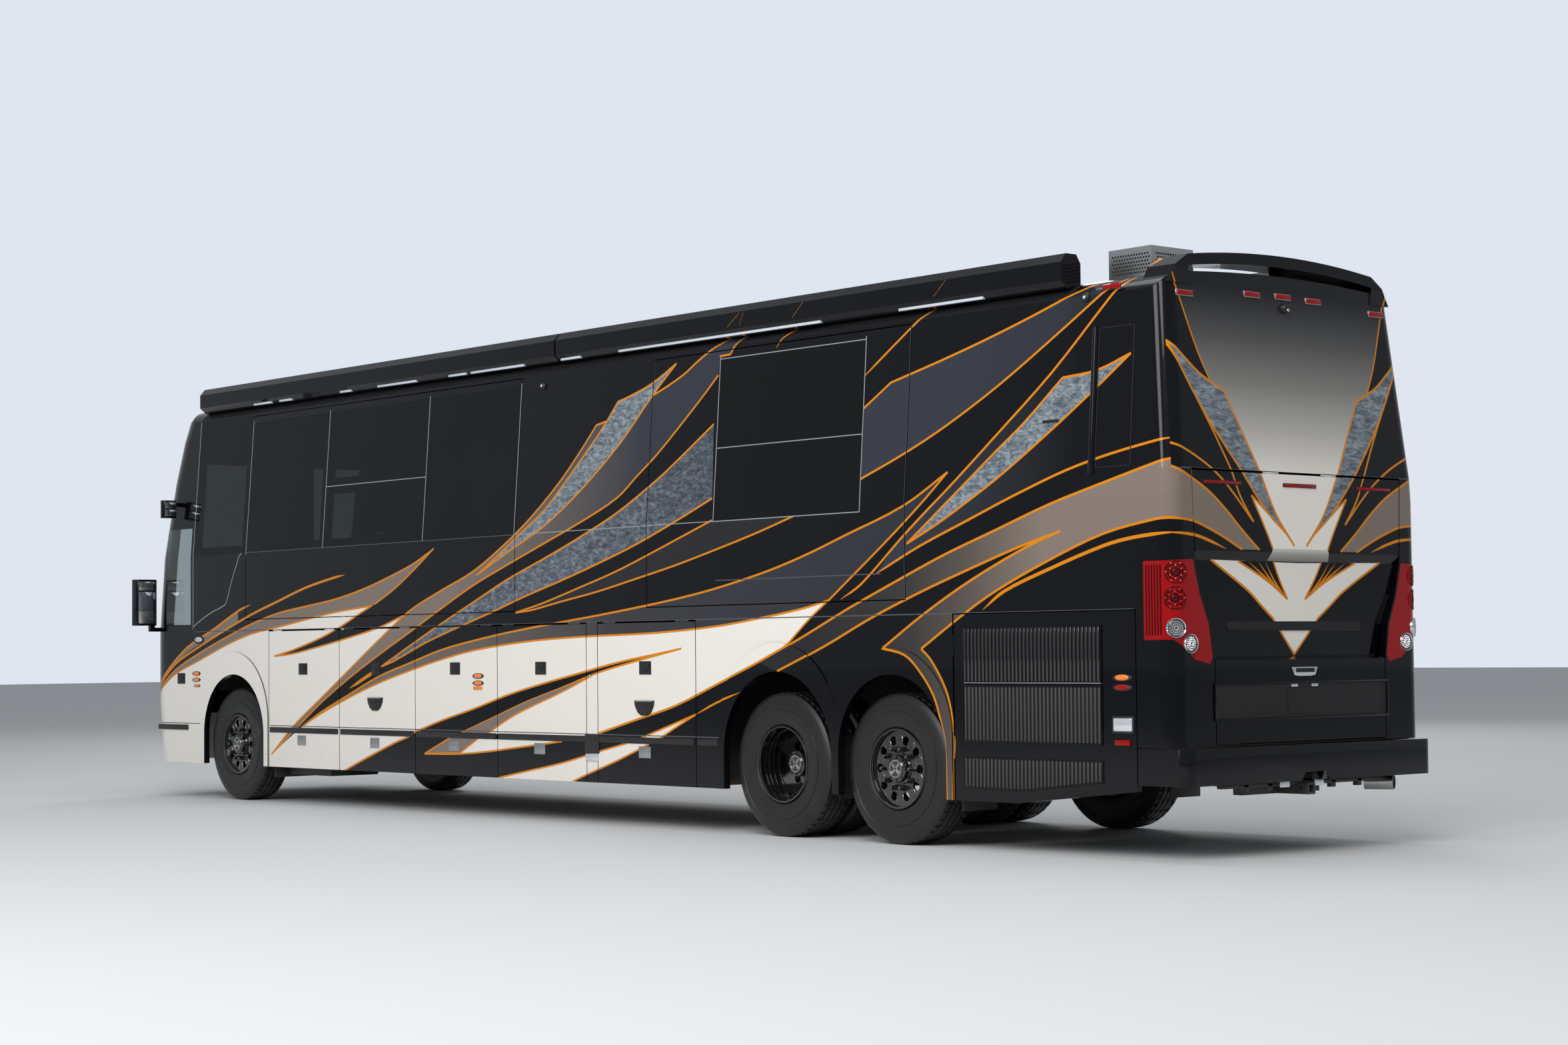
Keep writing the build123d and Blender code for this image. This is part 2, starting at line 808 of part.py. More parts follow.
# Driver's deck: lower floor, the riser up to the passenger deck, and the entry steps
with BuildPart() as driver_deck:
    block(
        (driver_deck_x - deck_plate, -deck_half, driver_deck_z - deck_plate),
        (driver_deck_x, deck_half, floor_top_z - floor_thick),
    )
    block(
        (driver_deck_x - deck_plate, steps[-1][2], driver_deck_z - deck_plate),
        (deck_front, driver_deck_y, driver_deck_z),
    )
    for z, outer_y, inner_y in steps:
        block((driver_deck_x, outer_y, z - step_plate), (entry_front, inner_y, z))
        block((driver_deck_x, inner_y - step_plate, z), (entry_front, inner_y, z + step_rise))
finish(driver_deck, "driver_deck")

# Bay floor and the bulkheads between the baggage bays
bay_front = bays_front + 16
bay_rear = door_edges[4][2] - 45
bay_floor_top = 385
with BuildPart() as bay_floor:
    block((bay_rear, -deck_half, bay_floor_top - 40), (bay_front, deck_half, bay_floor_top))
finish(bay_floor, "bay_floor")

bulkheads = [bay_front]
bulkheads += [edges[2] - seam / 2 + 15 for edges in door_edges[:3]]
bulkheads += [(door_edges[3][2] + door_edges[4][1]) / 2 + 15, bay_rear + 30]
with BuildPart() as bay_bulkheads:
    for x in bulkheads:
        block((x - 30, -deck_half, bay_floor_top), (x, deck_half, floor_top_z - floor_thick))
finish(bay_bulkheads, "bay_bulkheads")

# Front and rear subframes: rails with cross members, meeting the outer bulkheads
rail_half = 400
rail_wide = 70
front_rail_low = tyre_r + 105
front_rail_high = front_rail_low + 160
front_crosses = [bay_front + 60, front_axle_x + 560, front_x - 300]
with BuildPart() as front_subframe:
    for side in (1, -1):
        block(
            (bay_front, side * rail_half - rail_wide / 2, front_rail_low),
            (front_x - 260, side * rail_half + rail_wide / 2, front_rail_high),
        )
        # legs that carry the driver's deck
        block(
            (front_axle_x + 700, side * rail_half - rail_wide / 2, front_rail_high),
            (front_axle_x + 770, side * rail_half + rail_wide / 2, driver_deck_z - deck_plate),
        )
    for x in front_crosses:
        block((x - 40, -rail_half, front_rail_low + 20), (x + 40, rail_half, front_rail_high - 20))
finish(front_subframe, "front_subframe")

rear_rail_low = tyre_r + 165
rear_rail_high = rear_rail_low + 150
rear_rail_end = rear_x + 200
engine_front = bulkhead_x - 150
rear_crosses = [bay_rear - 60, (drive_axle_x + tag_axle_x) / 2, engine_front + 250, rear_rail_end + 60]
receiver_outer = 76
receiver_bore = 51
receiver_z = 430
receiver_pin_r = 8
receiver_mouth = bumper_x + 40
pin_x = receiver_mouth + 60
with BuildPart() as rear_subframe:
    for side in (1, -1):
        block(
            (rear_rail_end, side * (rail_half - 35) - rail_wide / 2, rear_rail_low),
            (bay_rear, side * (rail_half - 35) + rail_wide / 2, rear_rail_high),
        )
        # posts under the rear bulkhead and behind the bumper
        block(
            (bulkhead_x - wall, side * (rail_half - 35) - rail_wide / 2, rear_rail_high),
            (bulkhead_x, side * (rail_half - 35) + rail_wide / 2, floor_top_z - floor_thick),
        )
        block(
            (rear_rail_end, side * (rail_half - 35) - rail_wide / 2, receiver_z - receiver_outer / 2),
            (rear_rail_end + 80, side * (rail_half - 35) + rail_wide / 2, rear_rail_low),
        )
        block(
            (bumper_x + 90, side * (rail_half - 35) - rail_wide / 2, 560),
            (rear_rail_end, side * (rail_half - 35) + rail_wide / 2, 640),
        )
    for x in rear_crosses:
        block((x - 40, -rail_half + 35, rear_rail_low + 20), (x + 40, rail_half - 35, rear_rail_high - 20))
    block(
        (rear_rail_end, -rail_half + 35, receiver_z - receiver_outer / 2),
        (rear_rail_end + 80, rail_half - 35, receiver_z + receiver_outer / 2),
    )
    block(
        (rear_rail_end - 10, -receiver_bore / 2, receiver_z - receiver_bore / 2),
        (rear_rail_end + 90, receiver_bore / 2, receiver_z + receiver_bore / 2),
        mode=Mode.SUBTRACT,
    )
finish(rear_subframe, "rear_subframe")

# Hitch receiver: square tube on the rear cross member, with a hole for the pin
with BuildPart() as hitch_receiver:
    block(
        (receiver_mouth, -receiver_outer / 2, receiver_z - receiver_outer / 2),
        (rear_rail_end, receiver_outer / 2, receiver_z + receiver_outer / 2),
    )
    block(
        (receiver_mouth - 10, -receiver_bore / 2, receiver_z - receiver_bore / 2),
        (rear_rail_end + 10, receiver_bore / 2, receiver_z + receiver_bore / 2),
        mode=Mode.SUBTRACT,
    )
    with Locations((pin_x, 0, receiver_z)):
        Cylinder(receiver_pin_r, receiver_outer + 20, rotation=(90, 0, 0), mode=Mode.SUBTRACT)
finish(hitch_receiver, "hitch_receiver")

# Engine: one plain block between the rear rails, with a flange over them
engine_rear = rear_x + 340
with BuildPart() as engine:
    block((engine_rear, -320, 480), (engine_front, 320, 1700))
    block((engine_rear, -rail_half, rear_rail_high), (engine_front, rail_half, rear_rail_high + 40))
finish(engine, "engine")

# Wheels: tyre size, rim and hub faces
tyre_width = 300
bead_r = 286
track_y = half_width - 190
dual_y = track_y - tyre_width - 40
rim_wall = 12
disc_thick = 20
single_disc_y = track_y + 95
dual_disc_y = (track_y + dual_y) / 2
spindle_r = 70


def ring_section(points, at_x):
    """Half section of a wheel about its axle, as distance across and radius."""
    with BuildSketch(Plane.YZ.offset(at_x), mode=Mode.PRIVATE) as sketch:
        with BuildLine():
            Polyline([(y, tyre_r + r) for y, r in points], close=True)
        make_face()
    return sketch.sketch


def tyre_points(side, centre):
    half = tyre_width / 2
    inside = bead_r + touch
    profile = [
        (-half + 25, inside),
        (-half, inside + 70),
        (-half, tyre_r - 90),
        (-half + 22, tyre_r - 22),
        (-half + 45, tyre_r),
        (half - 45, tyre_r),
        (half - 22, tyre_r - 22),
        (half, tyre_r - 90),
        (half, inside + 70),
        (half - 25, inside),
    ]
    return [(side * (centre + y), r) for y, r in profile]


def barrel_points(side, low, high, disc):
    """Rim barrel from low to high across, with a disc of which the inner face is at disc."""
    bore = 60
    corners = [
        (low, bead_r),
        (low, bead_r - rim_wall),
        (disc, bead_r - rim_wall),
        (disc, bore),
        (disc + disc_thick, bore),
        (disc + disc_thick, bead_r - rim_wall),
        (high, bead_r - rim_wall),
        (high, bead_r),
    ]
    return [(side * y, r) for y, r in dict.fromkeys(corners)]


# axle name, its place, the tyre centres across, and inner face of the disc
wheel_sets = [
    ("front", front_axle_x, [track_y], single_disc_y),
    ("drive", drive_axle_x, [track_y, dual_y], dual_disc_y - disc_thick),
    ("tag", tag_axle_x, [track_y], single_disc_y),
]
for axle, at_x, centres, disc_y in wheel_sets:
    axis = Axis((at_x, 0, tyre_r), (0, 1, 0))
    for side, hand in [(1, "left"), (-1, "right")]:
        with BuildPart() as tyre:
            for centre in centres:
                revolve(ring_section(tyre_points(side, centre), at_x), axis)
        finish(tyre, f"{axle}_{hand}_tyre")
        with BuildPart() as rim:
            half = tyre_width / 2 - 25
            if len(centres) == 1:
                barrel = barrel_points(side, track_y - half, track_y + half, disc_y)
                revolve(ring_section(barrel, at_x), axis)
            else:
                barrel = barrel_points(side, dual_y - half, disc_y + disc_thick, disc_y)
                revolve(ring_section(barrel, at_x), axis)
                outer = barrel_points(side, disc_y + disc_thick, track_y + half, disc_y + disc_thick)
                revolve(ring_section(outer, at_x), axis)
            # hub centre and hand holes
            hub_start = disc_y if axle == "drive" else disc_y + disc_thick
            hub_end = disc_y + 190 if axle == "drive" else track_y + half + 20
            with Locations((at_x, side * (hub_start + hub_end) / 2, tyre_r)):
                Cylinder(95, hub_end - hub_start, rotation=(90, 0, 0))
            with Locations((at_x, side * (disc_y + 20), tyre_r)):
                with Locations(Rotation(90, 0, 0)):
                    with PolarLocations(205, 10):
                        Cylinder(33, 120, mode=Mode.SUBTRACT)
            if axle != "drive":
                with Locations((at_x, side * (disc_y + disc_thick / 2), tyre_r)):
                    Cylinder(70, disc_thick, rotation=(90, 0, 0))
        finish(rim, f"{axle}_{hand}_rim")

# Steering knuckles on their kingpins, with brake disc and spindle
kingpin_y = track_y - 80
beam_half = 55
beam_low = tyre_r - 60
beam_high = tyre_r + 60
eye_r = 45
eye_low = tyre_r - 65
eye_high = tyre_r + 65
fork_half = 45
for side, hand in [(1, "left"), (-1, "right")]:
    with BuildPart() as steering_knuckle:
        fork = [
            (kingpin_y - fork_half, tyre_r - 110),
            (kingpin_y + 70, tyre_r + 110),
        ]
        block(
            (front_axle_x - fork_half, min(side * fork[0][0], side * fork[1][0]), fork[0][1]),
            (front_axle_x + fork_half, max(side * fork[0][0], side * fork[1][0]), fork[1][1]),
        )
        slot_y = sorted([side * (fork[0][0] - 5), side * (kingpin_y + eye_r + 5)])
        block(
            (front_axle_x - fork_half - 5, slot_y[0], eye_low - touch),
            (front_axle_x + fork_half + 5, slot_y[1], eye_high + touch),
            mode=Mode.SUBTRACT,
        )
        spindle_start = kingpin_y + 60
        spindle_end = single_disc_y - touch
        with Locations((front_axle_x, side * (spindle_start + spindle_end) / 2, tyre_r)):
            Cylinder(spindle_r, spindle_end - spindle_start, rotation=(90, 0, 0))
        with Locations((front_axle_x, side * (kingpin_y + 110), tyre_r)):
            Cylinder(190, 45, rotation=(90, 0, 0))
    finish(steering_knuckle, f"{hand}_steering_knuckle")

with BuildPart() as front_axle:
    block(
        (front_axle_x - beam_half, -(kingpin_y - eye_r - 10), beam_low),
        (front_axle_x + beam_half, kingpin_y - eye_r - 10, beam_high),
    )
    for side in (1, -1):
        with Locations((front_axle_x, side * kingpin_y, (eye_low + eye_high) / 2)):
            Cylinder(eye_r, eye_high - eye_low)
        with Locations((front_axle_x, side * (kingpin_y - 35), (beam_low + beam_high) / 2)):
            Box(60, 70, beam_high - beam_low)
        with Locations((front_axle_x, side * rail_half, (beam_high + front_rail_low) / 2)):
            Cylinder(100, front_rail_low - beam_high)
finish(front_axle, "front_axle")

# Drive axle with its differential, and tag axle, both under air springs
tube_r = 90
diff_r = 210
with BuildPart() as drive_axle:
    with Locations((drive_axle_x, 0, tyre_r)):
        Cylinder(tube_r, 2 * (dual_disc_y - disc_thick - touch), rotation=(90, 0, 0))
        Cylinder(diff_r, 300, rotation=(90, 0, 0))
    for side in (1, -1):
        block(
            (drive_axle_x - 90, side * (rail_half - 35) - 60, tyre_r),
            (drive_axle_x + 90, side * (rail_half - 35) + 60, rear_rail_low),
        )
finish(drive_axle, "drive_axle")

with BuildPart() as tag_axle:
    with Locations((tag_axle_x, 0, tyre_r)):
        Cylinder(tube_r - 20, 2 * (single_disc_y - touch), rotation=(90, 0, 0))
    for side in (1, -1):
        block(
            (tag_axle_x - 70, side * (rail_half - 35) - 60, tyre_r),
            (tag_axle_x + 70, side * (rail_half - 35) + 60, rear_rail_low),
        )
finish(tag_axle, "tag_axle")

# Awnings along the roof edges: two on the left over the slide-outs, one on the right
awning_low_z = eave_z + 72
awning_high_z = eave_z + 308
awning_y = eave_half_width + 46
# side, rear end and front end of each
awning_runs = [
    (1, front_x - 7035, front_x - 1090),
    (1, front_x - 12780, front_x - 7055),
    (-1, front_x - 7035, front_x - 1090),
]
body_prism = extrude(body_section(0, lean_z - 100, rear_cap_x), amount=cap_x - rear_cap_x)
with BuildPart() as awnings:
    for side, rear, front in awning_runs:
        with BuildSketch(Plane.YZ.offset(rear)):
            with BuildLine():
                Polyline(
                    (side * (awning_y - 190), roof_bend_z - 40),
                    (side * (awning_y - 190), awning_high_z - 60),
                    (side * (awning_y - 150), awning_high_z),
                    (side * (awning_y - 50), awning_high_z),
                    (side * awning_y, awning_high_z - 60),
                    (side * awning_y, awning_low_z + 50),
                    (side * (awning_y - 60), awning_low_z),
                    (side * (awning_y - 90), roof_bend_z - 40),
                    close=True,
                )
            make_face()
        extrude(amount=front - rear)
    add(body_prism, mode=Mode.SUBTRACT)
finish(awnings, "awnings")

# Driver's place: dashboard with the steering wheel on its column, and the two front seats
dash_rear = front_x - 440
wheel_x = dash_rear - 180
wheel_y = half_width - 730
wheel_z = driver_deck_z + 640
wheel_plane = Plane(origin=(wheel_x, wheel_y, wheel_z), x_dir=(0, 1, 0), z_dir=(-0.5, 0, 0.87))
with BuildPart() as dashboard:
    block((dash_rear, -350, driver_deck_z), (deck_front, driver_deck_y, driver_deck_z + 420))
    block((dash_rear - 60, -350, driver_deck_z + 360), (deck_front, driver_deck_y, driver_deck_z + 450))
    with BuildSketch(wheel_plane):
        Circle(225)
        Circle(197, mode=Mode.SUBTRACT)
        Rectangle(400, 34)
        with Locations((0, -100)):
            Rectangle(34, 200)
        Circle(60)
    extrude(amount=14, both=True)
    with BuildSketch(wheel_plane):
        Circle(32)
    extrude(amount=-230)
finish(dashboard, "dashboard")

# front seats: middle of the cushion and height of the floor under it
seats = [(dash_rear - 440, wheel_y, driver_deck_z), (front_axle_x + 180, 670 - half_width, floor_top_z)]
with BuildPart() as front_seats:
    for x, y, floor_z in seats:
        block((x - 170, y - 170, floor_z), (x + 170, y + 170, floor_z + 330))
        block((x - 260, y - 260, floor_z + 330), (x + 260, y + 260, floor_z + 460))
        block((x - 330, y - 250, floor_z + 400), (x - 210, y + 250, floor_z + 1060))
        block((x - 320, y - 150, floor_z + 1060), (x - 230, y + 150, floor_z + 1230))
        for side in (1, -1):
            ys = sorted([y + side * 262, y + side * 320])
            block((x - 250, ys[0] - 4, floor_z + 560), (x + 170, ys[1] + 4, floor_z + 620))
            block((x - 250, ys[0] - 4, floor_z + 440), (x - 200, ys[1] + 4, floor_z + 570))
finish(front_seats, "front_seats")

# Door mirrors on arms at the front corners: a large one low down and a small one at the roof
# centre x and y, depth and width of the head, its low and high edge, height of the arm and its inner end
mirror_heads = [
    (front_x - 320, half_width + 150, 130, 230, 1690, 2150, 1650, half_width - 65),
    (front_x - 725, half_width + 100, 90, 150, 2750, 2925, 2885, half_width - 85),
]
with BuildPart() as mirrors:
    for side in (1, -1):
        for x, y, depth, width, low, high, arm_z, root_y in mirror_heads:
            with BuildSketch(Plane.XY.offset(low)):
                with Locations((x, side * y)):
                    RectangleRounded(depth, width, 35)
            extrude(amount=high - low)
            ys = sorted([side * root_y, side * (y - width / 4)])
            block((x - 25, ys[0], arm_z - 20), (x + 25, ys[1], arm_z + 20))
            ys = sorted([side * (y - width / 2 + 10), side * (y - width / 4)])
            block((x - 25, ys[0], min(arm_z, low)), (x + 25, ys[1], max(arm_z, low) + 10))
    add(front_clear, mode=Mode.SUBTRACT)
finish(mirrors, "mirrors")

# Perforated vent box on the roof, near the rear on the left
vent_x = rear_x + 710
vent_y = 640
vent_length = 380
vent_width = 420
vent_high_z = crown_z + 190
with BuildPart() as roof_vent_box:
    block(
        (vent_x - vent_length / 2, vent_y - vent_width / 2, crown_z - 60),
        (vent_x + vent_length / 2, vent_y + vent_width / 2, vent_high_z),
    )
    add(rear_outer, mode=Mode.SUBTRACT)
finish(roof_vent_box, "roof_vent_box")
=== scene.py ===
import bpy
import bmesh
from functools import partial
from math import cos, sin, pi, radians, hypot, atan2, sqrt
from mathutils import Matrix, Vector
from mathutils.bvhtree import BVHTree
from mathutils.geometry import delaunay_2d_cdt, interpolate_bezier


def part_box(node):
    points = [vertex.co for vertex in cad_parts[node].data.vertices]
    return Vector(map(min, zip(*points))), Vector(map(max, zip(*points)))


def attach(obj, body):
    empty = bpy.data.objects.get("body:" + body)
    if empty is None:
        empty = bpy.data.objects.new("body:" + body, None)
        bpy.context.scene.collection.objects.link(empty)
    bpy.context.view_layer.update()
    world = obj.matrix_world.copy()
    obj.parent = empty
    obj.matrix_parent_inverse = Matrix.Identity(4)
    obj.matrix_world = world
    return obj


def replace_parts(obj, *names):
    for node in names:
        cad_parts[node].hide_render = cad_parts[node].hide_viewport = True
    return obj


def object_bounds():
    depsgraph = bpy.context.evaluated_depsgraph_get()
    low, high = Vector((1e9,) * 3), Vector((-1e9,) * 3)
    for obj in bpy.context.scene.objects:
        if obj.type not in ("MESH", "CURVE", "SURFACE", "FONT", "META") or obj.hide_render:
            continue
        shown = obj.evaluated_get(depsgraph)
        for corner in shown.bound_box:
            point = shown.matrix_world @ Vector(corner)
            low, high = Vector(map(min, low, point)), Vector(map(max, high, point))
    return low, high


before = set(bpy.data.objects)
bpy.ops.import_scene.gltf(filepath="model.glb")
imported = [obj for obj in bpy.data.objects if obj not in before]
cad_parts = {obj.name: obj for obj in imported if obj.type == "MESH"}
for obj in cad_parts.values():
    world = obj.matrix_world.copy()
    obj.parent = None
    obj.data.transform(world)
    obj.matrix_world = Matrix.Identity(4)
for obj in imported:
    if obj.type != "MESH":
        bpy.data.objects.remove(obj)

cadBounds = [list(corner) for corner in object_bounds()]
mm = 0.001
bodyHalf = 1.290          # half width of the coach at the waist
leanZ = 2.360             # above this the sides lean in
eaveZ = 3.700
eaveHalf = 1.192


def sideY(z, out=0.0):
    # half width of the body skin at a height
    lean = max(0.0, (z - leanZ) / (eaveZ - leanZ))
    return bodyHalf + out - lean * (bodyHalf - eaveHalf)


def srgb(r, g, b):
    # 0 to 255 screen colour to linear
    parts = []
    for value in (r, g, b):
        share = value / 255
        parts.append(share / 12.92 if share <= 0.04045 else ((share + 0.055) / 1.055) ** 2.4)
    return (*parts, 1.0)


# Camera: the photograph's place and lens
cameraDict = {
    "place": (-18.510, 14.560, 1.375),
    "yaw": -40.654,
    "pitch": 2.662,
    "roll": -0.583,
    "lens": 63.32,
    "sensor": 36.0,
    "farthest": 300,
}


def buildCamera():
    yaw, pitch, roll = (radians(cameraDict[key]) for key in ("yaw", "pitch", "roll"))
    ahead = Vector((cos(yaw) * cos(pitch), sin(yaw) * cos(pitch), sin(pitch)))
    level = Vector((sin(yaw), -cos(yaw), 0))
    over = level.cross(ahead)
    right = level * cos(roll) + over * sin(roll)
    up = over * cos(roll) - level * sin(roll)
    data = bpy.data.cameras.new("photoCamera")
    data.lens = cameraDict["lens"]
    data.sensor_width = cameraDict["sensor"]
    data.sensor_fit = "HORIZONTAL"
    data.clip_end = cameraDict["farthest"]
    cam = bpy.data.objects.new("photoCamera", data)
    bpy.context.scene.collection.objects.link(cam)
    turn = Matrix((right, up, -ahead)).transposed()
    cam.matrix_world = Matrix.Translation(cameraDict["place"]) @ turn.to_4x4()
    bpy.context.scene.camera = cam


# Studio: pale floor, pale surround, large soft lamps
studioDict = {
    "floorSize": 240.0,
    "floorDrop": 0.001,
    "floorRough": 0.85,
    "floorColor": (0.60, 0.61, 0.62, 1),
    "surroundColor": (0.74, 0.79, 0.86, 1),
    "fillColor": (0.90, 0.95, 1.0, 1),
    "fillStrength": 0.42,
    # name, place, aim, size, watts, colour
    "lamps": [
        ("keyLamp", (-15, 15, 15), (-1, 0, 1.5), 12.0, 2700, (1.0, 0.97, 0.93)),
        ("sideLamp", (-5, 20, 11), (0, 0, 1.5), 9.0, 1500, (0.95, 0.97, 1.0)),
        ("topLamp", (0, 0, 18), (0, 0, 0), 14.0, 900, (0.96, 0.98, 1.0)),
        ("farLamp", (16, -18, 12), (1, 0, 2), 10.0, 1200, (1.0, 0.98, 0.95)),
    ],
}


def addNode(tree, kind, *settings, **values):
    # settings are pairs such as ("operation", "MULTIPLY"); values go to the sockets
    node = tree.nodes.new("ShaderNode" + kind)
    for key, value in settings:
        setattr(node, key, value)
    for key, value in values.items():
        node.inputs[key.replace("_", " ")].default_value = value
    return node


def wire(tree, *links):
    for source, output, target, socket in links:
        tree.links.new(source.outputs[output], target.inputs[socket])


def buildStudio():
    bpy.context.scene.view_settings.view_transform = "Standard"
    world = bpy.data.worlds.new("softSurround")
    bpy.context.scene.world = world
    world.use_nodes = True
    tree = world.node_tree
    tree.nodes.clear()
    out = addNode(tree, "OutputWorld")
    seen = addNode(tree, "Background", Color=studioDict["surroundColor"], Strength=1.0)
    fill = addNode(tree, "Background", Color=studioDict["fillColor"], Strength=studioDict["fillStrength"])
    mix = addNode(tree, "MixShader")
    path = addNode(tree, "LightPath")
    eyeRays = addNode(tree, "Math", ("operation", "MAXIMUM"))
    wire(
        tree,
        (path, "Is Camera Ray", eyeRays, 0),
        (path, "Is Transmission Ray", eyeRays, 1),
        (eyeRays, 0, mix, "Fac"),
        (fill, 0, mix, 1),
        (seen, 0, mix, 2),
        (mix, 0, out, "Surface"),
    )
    for name, place, aim, size, watts, color in studioDict["lamps"]:
        data = bpy.data.lights.new(name, "AREA")
        data.shape = "DISK"
        data.size = size
        data.energy = watts
        data.color = color
        lamp = bpy.data.objects.new(name, data)
        lamp.location = place
        lamp.rotation_euler = (Vector(aim) - Vector(place)).to_track_quat("-Z", "Y").to_euler()
        bpy.context.scene.collection.objects.link(lamp)
    ground = bmesh.new()
    bmesh.ops.create_grid(ground, x_segments=1, y_segments=1, size=studioDict["floorSize"] / 2)
    mesh = bpy.data.meshes.new("paleFloor")
    ground.to_mesh(mesh)
    ground.free()
    obj = bpy.data.objects.new("paleFloor", mesh)
    bpy.context.scene.collection.objects.link(obj)
    obj.location = (0, 0, cadBounds[0][2] - studioDict["floorDrop"])
    mat = bpy.data.materials.new("paleFloor")
    mat.use_nodes = True
    shader = mat.node_tree.nodes["Principled BSDF"]
    shader.inputs["Base Color"].default_value = studioDict["floorColor"]
    shader.inputs["Roughness"].default_value = studioDict["floorRough"]
    mesh.materials.append(mat)


buildCamera()
buildStudio()
print("camera and studio ready")


# Shared shader effects
effectDict = {
    "grainDetail": 5,
    "dustColor": srgb(126, 120, 112),
    "dustFoot": 0.2,
    "dustScale": 6,
    "dustDetail": 8,
    # top height and amount of the dust on paint that fades
    "fadeDust": (0.9, 0.25),
    "stoneTurn": radians(-38),
    "stoneStretch": (1.6, 1.0, 3.4),
    "stoneNoise": {"Scale": 9.0, "Detail": 12, "Roughness": 0.72, "Distortion": 0.9},
    "stoneShadow": srgb(20, 23, 30),
    "glassBend": 1.28,
}


def newGroup(name, inputs, outputs):
    group = bpy.data.node_groups.new(name, "ShaderNodeTree")
    for label, kind, value in inputs:
        socket = group.interface.new_socket(name=label, in_out="INPUT", socket_type=kind)
        socket.default_value = value
    for label, kind in outputs:
        group.interface.new_socket(name=label, in_out="OUTPUT", socket_type=kind)
    return group, group.nodes.new("NodeGroupInput"), group.nodes.new("NodeGroupOutput")


def buildGrainGroup():
    # fine uneven surface: a noise for the roughness and its bump
    group, start, end = newGroup(
        "surfaceGrain",
        [
            ("Scale", "NodeSocketFloat", 200.0),
            ("Rough Low", "NodeSocketFloat", 0.3),
            ("Rough High", "NodeSocketFloat", 0.4),
            ("Bump", "NodeSocketFloat", 0.1),
            ("Depth", "NodeSocketFloat", 0.001),
        ],
        [("Roughness", "NodeSocketFloat"), ("Normal", "NodeSocketVector")],
    )
    place = addNode(group, "TexCoord")
    noise = addNode(group, "TexNoise", Detail=effectDict["grainDetail"])
    rough = addNode(group, "MapRange")
    bump = addNode(group, "Bump")
    wire(
        group,
        (place, "Object", noise, "Vector"),
        (start, "Scale", noise, "Scale"),
        (noise, "Fac", rough, "Value"),
        (start, "Rough Low", rough, "To Min"),
        (start, "Rough High", rough, "To Max"),
        (noise, "Fac", bump, "Height"),
        (start, "Bump", bump, "Strength"),
        (start, "Depth", bump, "Distance"),
        (rough, "Result", end, "Roughness"),
        (bump, "Normal", end, "Normal"),
    )
    return group


def buildDustGroup():
    # road dust that thickens towards the ground
    group, start, end = newGroup(
        "roadDust",
        [
            ("Color", "NodeSocketColor", (0, 0, 0, 1)),
            ("Dust", "NodeSocketColor", effectDict["dustColor"]),
            ("Top", "NodeSocketFloat", 0.9),
            ("Amount", "NodeSocketFloat", 0.1),
        ],
        [("Color", "NodeSocketColor"), ("Mask", "NodeSocketFloat")],
    )
    place = addNode(group, "TexCoord")
    split = addNode(group, "SeparateXYZ")
    fall = addNode(group, "MapRange", From_Min=effectDict["dustFoot"], To_Min=1, To_Max=0)
    noise = addNode(group, "TexNoise", Scale=effectDict["dustScale"], Detail=effectDict["dustDetail"])
    patch = addNode(group, "Math", ("operation", "MULTIPLY"))
    dose = addNode(group, "Math", ("operation", "MULTIPLY"))
    mix = addNode(group, "Mix", ("data_type", "RGBA"))
    wire(
        group,
        (place, "Object", split, 0),
        (place, "Object", noise, "Vector"),
        (split, "Z", fall, "Value"),
        (start, "Top", fall, "From Max"),
        (fall, "Result", patch, 0),
        (noise, "Fac", patch, 1),
        (patch, 0, dose, 0),
        (start, "Amount", dose, 1),
        (dose, 0, mix, "Factor"),
        (start, "Color", mix, "A"),
        (start, "Dust", mix, "B"),
        (mix, "Result", end, "Color"),
        (dose, 0, end, "Mask"),
    )
    return group


grainGroup = buildGrainGroup()
dustGroup = buildDustGroup()


def newFinish(name, color, grain, dust=None, **sockets):
    # grain: scale, low and high roughness, bump strength and depth; dust: top height and amount
    mat = bpy.data.materials.new(name)
    mat.use_nodes = True
    tree = mat.node_tree
    shader = tree.nodes["Principled BSDF"]
    shader.inputs["Base Color"].default_value = color
    for key, value in sockets.items():
        shader.inputs[key.replace("_", " ")].default_value = value
    scale, low, high, bump, depth = grain
    grainNode = addNode(
        tree, "Group", ("node_tree", grainGroup), Scale=scale, Rough_Low=low, Rough_High=high, Bump=bump,
        Depth=depth
    )
    wire(tree, (grainNode, "Roughness", shader, "Roughness"), (grainNode, "Normal", shader, "Normal"))
    if dust:
        dustNode = addNode(tree, "Group", ("node_tree", dustGroup), Color=color, Top=dust[0], Amount=dust[1])
        wire(tree, (dustNode, "Color", shader, "Base Color"))
    return mat


def addRamp(tree, stops):
    ramp = addNode(tree, "ValToRGB")
    while len(ramp.color_ramp.elements) < len(stops):
        ramp.color_ramp.elements.new(0.5)
    for element, (at, color) in zip(ramp.color_ramp.elements, stops):
        element.position = at
        element.color = color
    return ramp


paintGrain = (900, 0.16, 0.24, 0.02, 0.0002)
paintCoat = {"Coat_Weight": 1.0, "Coat_Roughness": 0.02, "Coat_IOR": 1.28, "Specular_IOR_Level": 0.06}


